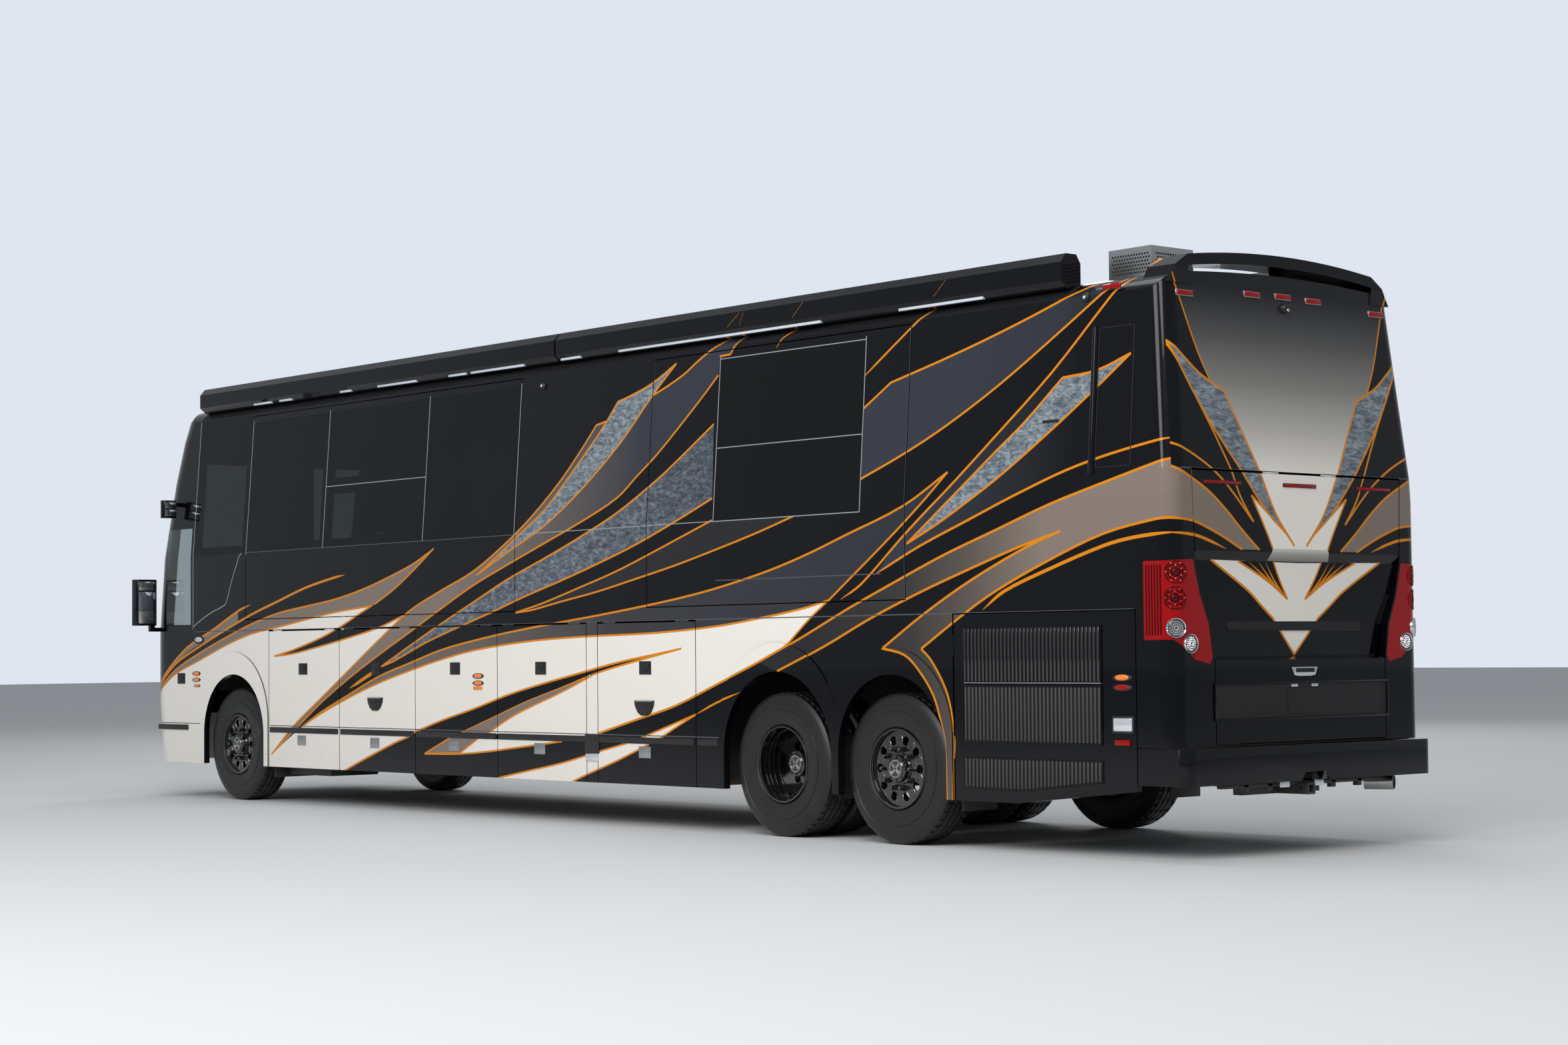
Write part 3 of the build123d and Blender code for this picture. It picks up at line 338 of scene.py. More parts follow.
def newFade(name, axis, stops):
    # paint whose colour runs along an axis: stops are (metres, colour) from low to high
    mat = newFinish(name, stops[0][1], paintGrain, None, **paintCoat)
    tree = mat.node_tree
    low, high = stops[0][0], stops[-1][0]
    top, amount = effectDict["fadeDust"]
    place = addNode(tree, "TexCoord")
    split = addNode(tree, "SeparateXYZ")
    reach = addNode(tree, "MapRange", From_Min=low, From_Max=high)
    ramp = addRamp(tree, [((at - low) / (high - low), color) for at, color in stops])
    dustNode = addNode(tree, "Group", ("node_tree", dustGroup), Top=top, Amount=amount)
    wire(
        tree,
        (place, "Object", split, 0),
        (split, axis, reach, "Value"),
        (reach, "Result", ramp, "Fac"),
        (ramp, "Color", dustNode, "Color"),
        (dustNode, "Color", tree.nodes["Principled BSDF"], "Base Color"),
    )
    return mat


def newMarble(name, stops, shade=None):
    # brushed stone: stretched noise in a ramp; shade (from x, to x, least share) darkens it along X
    mat = newFinish(name, stops[0][1], paintGrain, None, **paintCoat)
    tree = mat.node_tree
    shader = tree.nodes["Principled BSDF"]
    place = addNode(tree, "TexCoord")
    turn = addNode(
        tree, "Mapping", Rotation=(0, effectDict["stoneTurn"], 0), Scale=effectDict["stoneStretch"]
    )
    large = addNode(tree, "TexNoise", **effectDict["stoneNoise"])
    ramp = addRamp(tree, stops)
    wire(tree, (place, "Object", turn, "Vector"), (turn, "Vector", large, "Vector"),
         (large, "Fac", ramp, "Fac"))
    if not shade:
        wire(tree, (ramp, "Color", shader, "Base Color"))
        return mat
    split = addNode(tree, "SeparateXYZ")
    reach = addNode(tree, "MapRange", From_Min=shade[0], From_Max=shade[1], To_Min=shade[2], To_Max=1.0)
    darker = addNode(tree, "Mix", ("data_type", "RGBA"), A=effectDict["stoneShadow"])
    wire(
        tree,
        (place, "Object", split, 0),
        (split, "X", reach, "Value"),
        (reach, "Result", darker, "Factor"),
        (ramp, "Color", darker, "B"),
        (darker, "Result", shader, "Base Color"),
    )
    return mat


def newGlass(name, color, transmission, roughness):
    grain = (3, roughness, roughness + 0.01, 0.0, 0.0001)
    mat = newFinish(name, color, grain, Transmission_Weight=transmission, IOR=effectDict["glassBend"])
    shader = mat.node_tree.nodes["Principled BSDF"]
    for link in list(shader.inputs["Normal"].links):
        mat.node_tree.links.remove(link)
    return mat


black = srgb(5, 6, 11)
taupe = srgb(126, 113, 104)
slate = srgb(48, 51, 61)
finishes = {
    "black": newFinish("glossBlack", black, paintGrain, (0.9, 0.05), **paintCoat),
    "roofSatin": newFinish(
        "roofSatin", srgb(15, 16, 19), (200, 0.5, 0.65, 0.1, 0.0005), Specular_IOR_Level=0.3
    ),
    "pearl": newFinish("pearlWhite", srgb(232, 227, 219), paintGrain, (0.9, 0.16), **paintCoat),
    "orange": newFinish("orangeLine", srgb(212, 128, 8), paintGrain, **paintCoat),
    "silver": newFinish("silverLine", srgb(176, 178, 180), paintGrain, Metallic=0.5, **paintCoat),
    # seamAndHighlightLine: grey line along the panel seams, a dark joint on the pearl and a painted highlight
    # of the seam edges on the black paint
    "seamAndHighlightLine": newFinish("seamAndHighlightLine", srgb(74, 76, 82), (300, 0.35, 0.5, 0.05, 0.0003)),
    # seam: near-black matte, for dark joints and as painted shade in slots, recesses, the vent box holes and
    # behind the louvre ribs
    "seam": newFinish("seamShadow", srgb(14, 14, 16), (300, 0.6, 0.8, 0.1, 0.0005)),
    "taupe": newFade("taupeFade", "X", [(-7.0, taupe), (6.9, taupe)]),
    "taupeRear": newFade("taupeRearFade", "X", [
        (-7.0, taupe), (-5.7, taupe), (-5.0, srgb(86, 79, 74)), (-4.4, srgb(55, 52, 51)),
        (-3.3, srgb(36, 36, 38)),
    ]),
    "sweepTop": newFade("sweepTopFade", "X", [
        (-3.0, slate), (-1.3, slate), (0.2, srgb(100, 92, 87)), (1.5, taupe), (4.4, taupe),
    ]),
    "sweepLow": newFade("sweepLowFade", "X", [
        (-4.8, srgb(42, 44, 52)), (-1.0, srgb(56, 56, 60)), (1.2, srgb(104, 94, 86)), (3.9, taupe),
    ]),
    "slateUpper": newFade("slateUpperFade", "X", [
        (-6.5, black), (-5.8, srgb(44, 46, 54)), (-4.8, slate), (-3.8, slate),
    ]),
    "slateMid": newFade("slateMidFade", "X", [
        (-6.0, black), (-5.2, srgb(34, 36, 42)), (-4.3, slate), (-4.0, slate),
    ]),
    "rearPanel": newFade("rearPanelFade", "Z", [
        (2.5, srgb(226, 222, 214)), (2.8, srgb(178, 175, 170)), (3.1, srgb(128, 126, 123)),
        (3.4, srgb(80, 80, 80)),
        (3.62, srgb(44, 45, 48)), (3.74, srgb(18, 19, 23)),
    ]),
    "ledge": newFade("ledgeShade", "Z", [(1.93, srgb(120, 118, 114)), (2.02, srgb(200, 196, 190))]),
    "marbleLight": newMarble("marbleLight", [
        (0.30, srgb(46, 53, 61)), (0.47, srgb(98, 108, 117)), (0.62, srgb(146, 156, 163)),
    ]),
    "marbleDark": newMarble("marbleDark", [
        (0.30, srgb(36, 41, 49)), (0.47, srgb(82, 90, 100)), (0.64, srgb(132, 141, 150)),
    ], (-2.6, -0.2, 0.45)),
    "rubber": newFinish("tyreRubber", srgb(12, 12, 13), (420, 0.36, 0.5, 0.3, 0.0005), (1.2, 0.06)),
    "wheelBlack": newFinish(
        "wheelBlack", srgb(10, 10, 12), (300, 0.10, 0.2, 0.03, 0.0003), (1.1, 0.06),
        Coat_Weight=1.0, Coat_Roughness=0.03,
    ),
    "chrome": newFinish("polishedChrome", srgb(214, 216, 218), (160, 0.05, 0.14, 0.01, 0.0002), Metallic=1.0),
    "steel": newFinish("brushedSteel", srgb(186, 187, 186), (260, 0.22, 0.38, 0.05, 0.0003), Metallic=1.0),
    "chassis": newFinish("chassisBlack", srgb(24, 24, 25), (160, 0.45, 0.7, 0.3, 0.001), (1.3, 0.5)),
    "plastic": newFinish("trimPlastic", srgb(20, 20, 21), (600, 0.4, 0.55, 0.18, 0.0004), (0.9, 0.15)),
    "iron": newFinish("engineIron", srgb(96, 98, 98), (60, 0.4, 0.65, 0.3, 0.002), Metallic=0.7),
    "board": newFinish("floorBoard", srgb(88, 76, 64), (40, 0.5, 0.7, 0.1, 0.001)),
    "carpet": newFinish("deckCarpet", srgb(72, 66, 60), (500, 0.85, 0.95, 0.6, 0.002)),
    "leather": newFinish("seatLeather", srgb(150, 138, 122), (260, 0.42, 0.58, 0.35, 0.0008)),
    "dash": newFinish("dashTrim", srgb(42, 40, 39), (500, 0.45, 0.6, 0.25, 0.0005)),
    "amber": newFinish("amberLens", srgb(238, 128, 16), (200, 0.08, 0.14, 0.02, 0.0003), Coat_Weight=1.0),
    "redLens": newFinish(
        "redLens", srgb(150, 4, 8), (200, 0.05, 0.1, 0.02, 0.0003),
        Coat_Weight=1.0, Coat_IOR=1.25, Specular_IOR_Level=0.1,
    ),
    "redDeep": newFinish("redDeep", srgb(74, 2, 5), (200, 0.1, 0.2, 0.05, 0.0005), Specular_IOR_Level=0.2),
    "lampWhite": newFinish("lampWhite", srgb(225, 228, 232), (160, 0.08, 0.2, 0.05, 0.0005), Metallic=0.6),
    # redDotHighlight: the bullseye lamps' LED dots, painted lighter red as highlights; no light comes from
    # them
    "redDotHighlight": newFinish("redDotHighlight", srgb(236, 52, 44), (200, 0.05, 0.1, 0.02, 0.0003), Coat_Weight=1.0),
    "lampSilver": newFinish("lampSilver", srgb(104, 108, 110), (90, 0.12, 0.3, 0.2, 0.002), Metallic=0.9),
    "mirror": newFinish("mirrorGlass", srgb(196, 202, 206), (40, 0.01, 0.02, 0.0, 0.0001), Metallic=1.0),
    "ledStrip": newFinish("ledStrip", srgb(205, 212, 220), (400, 0.15, 0.3, 0.1, 0.0004), Coat_Weight=0.6),
    "glossRib": newFinish("ribGloss", srgb(22, 22, 25), (300, 0.12, 0.2, 0.02, 0.0002), Coat_Weight=0.8),
    "dullRib": newFinish("ribSatin", srgb(58, 56, 55), (300, 0.42, 0.55, 0.1, 0.0004)),
    "tinted": newGlass("tintedGlass", srgb(58, 66, 66), 0.94, 0.0),
    "clear": newGlass("clearGlass", srgb(196, 204, 204), 0.96, 0.0),
    "lensClear": newGlass("lensClear", srgb(230, 234, 236), 0.97, 0.02),
}
print("finishes ready:", len(finishes))


# Paint scheme. Each shape is a closed outline of smooth runs in mm, front to rear, seen from the left side.
# A run is (line width, points); it ends where the next one starts, and only corners start a run.
sideShapes = [
    ("pearlSide", "pearl", [
        (0, [(6980, 965), (6650, 983), (6500, 1083), (6233, 1213), (5750, 1345), (5233, 1488), (4750, 1592),
             (4250, 1650), (3750, 1713), (3250, 1773), (2767, 1808), (2600, 1825)]),
        (0, [(2600, 1825), (2090, 1703)]),
        (0, [(2090, 1703), (1950, 1270)]),
        (0, [(1950, 1270), (1500, 1370), (1000, 1446), (500, 1499), (0, 1542), (-1000, 1602), (-2000, 1683),
             (-2500, 1742), (-3000, 1820), (-3450, 1850)]),
        (0, [(-3450, 1850), (-3531, 1731)]),
        (12, [(-3531, 1731), (-3329, 1605), (-3050, 1400)]),
        (14, [(-3050, 1400), (-2750, 1290), (-2250, 1124), (-1750, 960), (-1250, 845), (-743, 729)]),
        (0, [(-743, 729), (-743, 704)]),
        (0, [(-743, 704), (1900, 704)]),
        (14, [(1900, 704), (2000, 663), (2250, 597), (2750, 442), (3075, 335)]),
        (0, [(3075, 335), (3075, 300)]),
        (0, [(3075, 300), (6980, 300)]),
        (0, [(6980, 300), (6980, 965)]),
    ]),
    ("taupeFront", "taupe", [
        (0, [(6633, 1025), (6250, 1242), (5733, 1417), (5233, 1558), (4750, 1680), (4250, 1775), (3750, 1830),
             (3250, 1883), (2750, 1967), (2250, 2083), (1900, 2180), (1612, 2293)]),
        (13, [(1612, 2293), (1900, 2130), (2250, 1953), (2600, 1815)]),
        (13, [(2600, 1815), (3250, 1765), (3750, 1707), (4250, 1645), (4750, 1586), (5233, 1482),
              (5750, 1340),
              (6233, 1208), (6500, 1078), (6650, 983)]),
        (0, [(6650, 983), (6633, 1025)]),
    ]),
    ("frontTopLine", None, [
        (13, [(6633, 1025), (6250, 1242), (5733, 1417), (5233, 1558), (4750, 1680), (4250, 1775),
              (3750, 1830),
              (3250, 1883), (2750, 1967), (2250, 2083), (1900, 2180), (1612, 2293)]),
    ]),
    ("bladeFront", "black", [
        (13, [(4325, 1372), (4000, 1425), (3500, 1533), (3133, 1638), (2833, 1742), (2600, 1820)]),
        (0, [(2600, 1820), (2300, 1850)]),
        (0, [(2300, 1850), (2090, 1720)]),
        (13, [(2090, 1720), (2500, 1617), (3000, 1533), (3500, 1458), (4000, 1392), (4325, 1372)]),
    ]),
    ("strokeFill", "sweepLow", [
        (0, [(6620, 1080), (6300, 1310), (6000, 1460), (5500, 1628), (5000, 1805)]),
        (0, [(5000, 1805), (5000, 1702)]),
        (0, [(5000, 1702), (5500, 1563), (6000, 1417), (6300, 1265), (6620, 1070)]),
    ]),
    ("strokeHigh", None, [(18, [(6642, 1042), (6400, 1242), (6000, 1467), (5500, 1630), (5000, 1808),
                                (4758, 1867)])]),
    ("strokeLow", None, [
        (18, [(6633, 1050), (6250, 1300), (5750, 1475), (5233, 1633), (4750, 1770), (4250, 1888),
              (3750, 2003),
              (3250, 2083), (3067, 2103)]),
    ]),
    ("bladeLong", "black", [
        (0, [(4375, 450), (3850, 742), (3500, 933), (3000, 1167), (2500, 1375), (2000, 1570), (1750, 1674)]),
        (0, [(1750, 1674), (1750, 1300)]),
        (0, [(1750, 1300), (2000, 1250), (2500, 1150), (3000, 1000), (3500, 840), (3833, 713), (4375, 450)]),
    ]),
    ("greySweep", "sweepLow", [
        (13, [(3833, 713), (3500, 850), (3000, 1020), (2500, 1183), (2000, 1300), (1500, 1412), (1000, 1488),
              (500, 1550), (0, 1602), (-1000, 1698), (-2000, 1815), (-2750, 1945), (-3250, 2062),
              (-3750, 2207),
              (-4345, 2386), (-4781, 2600)]),
        (13, [(-4781, 2600), (-4500, 2374), (-4138, 2124), (-3750, 1871), (-3543, 1736)]),
        (13, [(-3543, 1736), (-3250, 1681), (-2750, 1617), (-2250, 1565), (-1500, 1524), (-500, 1503),
              (250, 1471),
              (1000, 1405), (1500, 1329), (2000, 1233), (2500, 1125), (3000, 992), (3500, 837), (3833, 713)]),
    ]),
    ("taupeSweep", "sweepTop", [
        (13, [(4375, 450), (3983, 717), (3500, 975), (3000, 1242), (2500, 1508), (2000, 1757), (1500, 1924),
              (1000, 2079), (500, 2310), (250, 2452), (0, 2620), (-250, 2812), (-500, 3040), (-671, 3210)]),
        (13, [(-671, 3210), (-826, 3236)]),
        (13, [(-826, 3236), (-1386, 3393), (-1750, 3519), (-1981, 3638), (-2305, 3779)]),
        (0, [(-2305, 3779), (-2495, 3779)]),
        (13, [(-2495, 3779), (-2424, 3736), (-2340, 3640)]),
        (13, [(-2340, 3640), (-2215, 3635)]),
        (0, [(-2215, 3635), (-2205, 3490)]),
        (13, [(-2205, 3490), (-2000, 3317), (-1500, 2931), (-1250, 2770), (-1000, 2607), (-500, 2424),
              (0, 2270),
              (500, 2118), (1000, 1960), (1500, 1769), (2000, 1570), (2500, 1375), (3000, 1167), (3500, 933),
              (3850, 742), (4375, 450)]),
    ]),
    ("marbleLong", "marbleDark", [
        (13, [(2458, 1272), (2000, 1450), (1552, 1619), (1000, 1817), (500, 1995), (0, 2145), (-500, 2303),
              (-1000, 2483), (-1500, 2721), (-1750, 2860), (-2179, 3114)]),
        (0, [(-2179, 3114), (-2202, 2543)]),
        (13, [(-2202, 2543), (-1750, 2381), (-1250, 2221), (-750, 2086), (-250, 1963), (250, 1848),
              (750, 1721),
              (1250, 1602), (1750, 1475), (2250, 1320), (2458, 1272)]),
    ]),
    ("marbleStroke", None, [(26, [(2992, 1075), (2750, 1163), (2458, 1270)])]),
    ("marbleShort", "marbleLight", [
        (13, [(957, 2043), (750, 2143), (350, 2352), (0, 2545), (-250, 2740), (-500, 2954), (-750, 3174),
              (-945, 3381)]),
        (13, [(-945, 3381), (-1076, 3407), (-1374, 3490), (-1679, 3626)]),
        (13, [(-1679, 3626), (-1386, 3390), (-1000, 3043), (-500, 2690), (0, 2412), (500, 2221),
              (957, 2043)]),
    ]),
    ("taupeLow", "taupeRear", [
        (12, [(388, 1714), (0, 1786), (-500, 1900), (-1000, 2019), (-1500, 2162), (-2210, 2374)]),
        (0, [(-2210, 2374), (-3186, 2371)]),
        (12, [(-3186, 2371), (-2750, 2260), (-2250, 2148), (-1750, 2043), (-1250, 1952), (-750, 1864),
              (-250, 1793),
              (150, 1733), (388, 1714)]),
    ]),
    ("bladeRear", "black", [
        (13, [(-1826, 1400), (-1500, 1357), (-1000, 1293), (-500, 1210), (0, 1126), (500, 1031), (1000, 912),
              (1500, 805), (1900, 704)]),
        (0, [(1900, 704), (1195, 704)]),
        (13, [(1195, 704), (750, 829), (250, 971), (-250, 1090), (-750, 1214), (-1250, 1305), (-1826, 1400)]),
    ]),
    ("taupeUnder", "taupe", [
        (0, [(1195, 704), (750, 829), (250, 971), (-250, 1090), (-650, 1185)]),
        (12, [(-650, 1185), (-250, 1055), (250, 912), (500, 829), (802, 704)]),
        (0, [(802, 704), (1195, 704)]),
    ]),
    ("rearWedge", "pearl", [
        (12, [(-2000, 895), (-1750, 825), (-1500, 755), (-1310, 704)]),
        (0, [(-1310, 704), (-1550, 704)]),
        (12, [(-1550, 704), (-1750, 793), (-2000, 895)]),
    ]),
    ("rearStroke", None, [(13, [(-2000, 895), (-2250, 986), (-2543, 1067)])]),
    ("skirtTaupe", "taupe", [
        (12, [(1767, 514), (1374, 657)]),
        (0, [(1374, 657), (950, 657)]),
        (12, [(950, 657), (1219, 531)]),
        (12, [(1219, 531), (1767, 514)]),
    ]),
    ("skirtPearl", "pearl", [
        (12, [(1219, 531), (950, 657)]),
        (0, [(950, 657), (-257, 657)]),
        (12, [(-257, 657), (0, 631), (500, 582), (750, 557), (1219, 524), (1767, 512)]),
        (0, [(1767, 512), (1219, 531)]),
    ]),
    ("skirtWedge", "pearl", [
        (12, [(648, 336), (250, 400), (-250, 480), (-750, 583), (-1124, 657)]),
        (0, [(-1124, 657), (-1410, 657)]),
        (12, [(-1410, 657), (-1000, 519), (-600, 400), (-398, 336)]),
        (0, [(-398, 336), (648, 336)]),
    ]),
    ("rearBand", "taupeRear", [
        (14, [(-2750, 1290), (-3250, 1474), (-3750, 1671), (-4250, 1852), (-4750, 2026), (-5250, 2176),
              (-5750, 2326), (-6250, 2450), (-6700, 2557), (-6850, 2590)]),
        (0, [(-6850, 2590), (-6850, 2200)]),
        (14, [(-6850, 2200), (-6700, 2193), (-6250, 2117), (-5750, 1957), (-5250, 1764), (-4924, 1605),
              (-4512, 1379)]),
        (14, [(-4512, 1379), (-4614, 1295), (-4750, 1105), (-4805, 950), (-4836, 750)]),
        (14, [(-4836, 750), (-4821, 338)]),
        (0, [(-4821, 338), (-4762, 338)]),
        (14, [(-4762, 338), (-4750, 724), (-4710, 879), (-4638, 1057), (-4500, 1224), (-4352, 1336),
              (-4114, 1386)]),
        (14, [(-4114, 1386), (-4543, 1621), (-5000, 1838), (-5543, 2052), (-5864, 2148)]),
        (14, [(-5864, 2148), (-5500, 2062), (-5000, 1921), (-4500, 1771), (-4000, 1602), (-3500, 1407),
              (-2971, 1224)]),
        (0, [(-2971, 1224), (-2750, 1290)]),
    ]),
    ("bandStroke", None, [
        (19, [(-5126, 1640), (-5329, 1760), (-5750, 1898), (-6250, 2038), (-6500, 2081), (-6850, 2108)]),
    ]),
    ("slateUpper", "slateUpper", [
        (0, [(-3848, 3088), (-3864, 2593)]),
        (13, [(-3864, 2593), (-4329, 2755), (-4750, 2926), (-5250, 3169), (-5750, 3450), (-6202, 3717),
              (-6567, 3938)]),
        (13, [(-6567, 3938), (-6202, 3826), (-5750, 3676), (-5250, 3533), (-4750, 3407), (-4162, 3274)]),
        (13, [(-4162, 3274), (-3848, 3088)]),
    ]),
    ("slateMid", "slateMid", [
        (0, [(-4043, 1910), (-4345, 2176), (-4750, 2457), (-5250, 2831), (-5750, 3217), (-5980, 3400)]),
        (0, [(-5980, 3400), (-5980, 2565)]),
        (0, [(-5980, 2565), (-5500, 2426), (-5000, 2260), (-4500, 2093), (-4043, 1910)]),
    ]),
    ("marbleRear", "marbleLight", [
        (13, [(-4376, 2117), (-4750, 2367), (-5250, 2719), (-5500, 2890), (-5848, 3171)]),
        (13, [(-5848, 3171), (-6162, 3197), (-6452, 3283)]),
        (13, [(-6452, 3283), (-6174, 3093), (-5750, 2819), (-5250, 2521), (-4750, 2271), (-4376, 2117)]),
    ]),
    ("marbleLine", None, [
        (14, [(-3674, 1740), (-3900, 1848), (-4345, 2176), (-4750, 2457), (-5250, 2831), (-5750, 3217),
              (-6250, 3669),
              (-6567, 3938)]),
    ]),
    ("forkLine", None, [
        (14, [(-4043, 1910), (-4500, 2093), (-5000, 2260), (-5500, 2426), (-5912, 2550), (-6305, 2636),
              (-6850, 2722)]),
    ]),
    ("cornerLine", None, [(13, [(-3852, 3326), (-4162, 3529), (-4500, 3740), (-4614, 3788)])]),
    ("cornerLineUp", None, [(13, [(-4626, 3840), (-4750, 3945)])]),
    ("roofLineA", None, [(13, [(-2352, 3843), (-2500, 3938)])]),
    ("roofLineB", None, [(13, [(-2500, 3843), (-2543, 3938)])]),
    ("roofLineC", None, [(13, [(-2876, 3640), (-2971, 3724), (-3114, 3783)])]),
    ("roofLineD", None, [(13, [(-3114, 3843), (-3233, 3945)])]),
]
# lines that aren't orange: finish, width, points. The grey seam lines are dark joints on the pearl and a
# painted highlight of the seam edges on the black paint
sideLines = [
    ("silver", 9, [(4933, 2364), (4983, 2330), (5033, 2250), (5133, 2083), (5233, 1892), (5330, 1850),
                   (5500, 1808),
                   (5700, 1742), (5883, 1667)]),
    ("seamAndHighlightLine", 7, [(-1400, 1968), (-1395, 2100), (-1400, 3678)]),
    ("seamAndHighlightLine", 7, [(-4352, 1736), (-4352, 3677)]),
    ("seamAndHighlightLine", 7, [(-2250, 1914), (-4100, 1914)]),
    ("seamAndHighlightLine", 8, [(5870, 1620), (-6500, 1620)]),
    ("seamAndHighlightLine", 8, [(6900, 722), (5730, 722)]),
    ("seamAndHighlightLine", 8, [(4404, 722), (-2280, 722)]),
    ("silver", 6, [(-2250, 2366), (4850, 2366)]),
]
# The rear, as half width and height, for the left half; the other half is its mirror image
rearShapes = [
    ("rearPanel", "rearPanel", [
        (0, [(0, 3840), (1134, 3840)]),
        (10, [(1134, 3840), (1067, 3680), (922, 3295), (815, 3090)]),
        (0, [(815, 3090), (688, 3036)]),
        (12, [(688, 3036), (500, 2690), (407, 2522), (250, 2245), (62, 2034)]),
        (0, [(62, 2034), (0, 2014)]),
        (0, [(0, 2014), (0, 3840)]),
    ]),
    ("pearlTail", "pearl", [
        (0, [(0, 2530), (407, 2522)]),
        (0, [(407, 2522), (495, 2361)]),
        (12, [(495, 2361), (343, 2116), (286, 2014)]),
        (0, [(286, 2014), (0, 2014)]),
        (0, [(0, 2014), (0, 2530)]),
    ]),
    ("bladeGap", "black", [
        (0, [(495, 2361), (510, 2420)]),
        (0, [(510, 2420), (700, 2640)]),
        (0, [(700, 2640), (590, 2525), (488, 2407), (320, 2240), (143, 2113)]),
        (12, [(143, 2113), (300, 2225), (495, 2361)]),
    ]),
    ("slateTail", "slateUpper", [
        (12, [(983, 3000), (830, 2759), (692, 2518), (607, 2352), (478, 2187)]),
        (12, [(478, 2187), (723, 2411), (898, 2532), (1093, 2628), (1300, 2705)]),
        (0, [(1300, 2705), (1300, 3000)]),
        (0, [(1300, 3000), (983, 3000)]),
    ]),
    ("marbleTail", "marbleLight", [
        (13, [(1197, 3358), (1080, 3262), (930, 3150), (812, 3090)]),
        (13, [(812, 3090), (688, 3036)]),
        (13, [(688, 3036), (500, 2690), (407, 2522), (250, 2245), (62, 2034)]),
        (13, [(62, 2034), (143, 2113), (320, 2240), (488, 2407), (680, 2620), (830, 2795), (983, 3000),
              (1125, 3223),
              (1197, 3358)]),
    ]),
    ("bandTail", "taupe", [
        (13, [(1300, 2560), (1255, 2535), (1137, 2482), (925, 2380), (750, 2259), (593, 2130), (425, 2004)]),
        (0, [(425, 2004), (598, 2004)]),
        (13, [(598, 2004), (785, 2085), (925, 2136), (1080, 2182), (1300, 2201)]),
        (0, [(1300, 2201), (1300, 2560)]),
    ]),
    ("tailStroke", None, [(16, [(1300, 2107), (1070, 2091), (925, 2058), (755, 2005)])]),
    ("ledgeShade", "ledge", [
        (0, [(0, 2014), (286, 2014)]),
        (0, [(286, 2014), (320, 1935)]),
        (0, [(320, 1935), (0, 1930)]),
        (0, [(0, 1930), (0, 2014)]),
    ]),
    ("pearlVee", "pearl", [
        (0, [(0, 1923), (880, 1935)]),
        (13, [(880, 1935), (500, 1739), (346, 1632), (235, 1557)]),
        (12, [(235, 1557), (159, 1477), (0, 1316)]),
        (0, [(0, 1316), (0, 1923)]),
    ]),
    ("veeRays", "black", [
        (12, [(610, 1930), (300, 1800), (90, 1682)]),
        (12, [(90, 1682), (180, 1810), (250, 1930)]),
        (0, [(250, 1930), (610, 1930)]),
    ]),
    ("veeRayA", None, [(11, [(90, 1682), (230, 1800), (330, 1925)])]),
    ("veeRayB", None, [(11, [(90, 1682), (260, 1800), (400, 1925)])]),
    ("veeRayC", None, [(11, [(90, 1682), (290, 1805), (500, 1925)])]),
]
rearLines = [
    ("seamAndHighlightLine", 7, [(0, 2521), (1192, 2521)]),
]
paintDict = {
    "lineGrow": 1.22,
    "curveSteps": 4,
    "tipLength": 160,
    "tipShare": 0.12,
    "closeGap": 1,
    "cutWeld": 1e-6,
    "seenFrom": 0.35,
    "skinHalf": 1.0,
    "rearX": -6.55,
    "weld": 0.00002,
}


def smoothRun(points):
    # Catmull-Rom through the points, by Bezier pieces
    if len(points) < 3:
        return [Vector(p) for p in points]
    spots = [Vector(p) for p in points]
    ends = [spots[0] * 2 - spots[1]] + spots + [spots[-1] * 2 - spots[-2]]
    line = [spots[0]]
    for index in range(1, len(ends) - 2):
        before, here, there, after = ends[index - 1 : index + 3]
        reach = (there - here).length
        leave = (there - before).normalized() * reach / 3
        arrive = (after - here).normalized() * reach / 3
        piece = interpolate_bezier(here, here + leave, there - arrive, there, paintDict["curveSteps"] + 1)
        line += [Vector(p[:2]) for p in piece[1:]]
    return line


def ribbon(line, width, tapers):
    # closed outline of a painted line, pointed at the ends that taper
    walked = [0.0]
    for a, b in zip(line, line[1:]):
        walked.append(walked[-1] + (b - a).length)
    left, right = [], []
    for index, spot in enumerate(line):
        ahead = (line[min(index + 1, len(line) - 1)] - line[max(index - 1, 0)]).normalized()
        across = Vector((-ahead.y, ahead.x))
        half = width / 2
        if tapers[0]:
            half *= min(1, paintDict["tipShare"] + walked[index] / paintDict["tipLength"])
        if tapers[1]:
            half *= min(1, paintDict["tipShare"] + (walked[-1] - walked[index]) / paintDict["tipLength"])
        left.append(spot + across * half)
        right.append(spot - across * half)
    return left + right[::-1]


def layShapes(shapes, lines, mirrored=False):
    # every fill and line as (finish, closed outline in metres), lowest layer first
    layers = []
    for name, paint, runs in shapes:
        smooth = [smoothRun(points) for width, points in runs]
        if paint:
            outline = []
            for line in smooth:
                outline += line[:-1]
            if (Vector(runs[-1][1][-1]) - Vector(runs[0][1][0])).length > paintDict["closeGap"]:
                outline.append(smooth[-1][-1])
            layers.append((paint, outline))
        for (width, points), line in zip(runs, smooth):
            if width:
                free = paint is None
                layers.append(("orange", ribbon(line, width * paintDict["lineGrow"], (free, free))))
    for finish, width, points in lines:
        layers.append((finish, ribbon(smoothRun(points), width, (False, False))))
    flat = [(finish, [spot * mm for spot in outline]) for finish, outline in layers]
    if mirrored:
        flat += [(finish, [Vector((-spot.x, spot.y)) for spot in outline]) for finish, outline in flat]
    return flat


sideLayers = layShapes(sideShapes, sideLines)
rearLayers = layShapes(rearShapes, rearLines, mirrored=True)


def counterClockwise(outline):
    twiceArea = sum(a.cross(b) for a, b in zip(outline, outline[1:] + outline[:1]))
    return outline if twiceArea > 0 else outline[::-1]


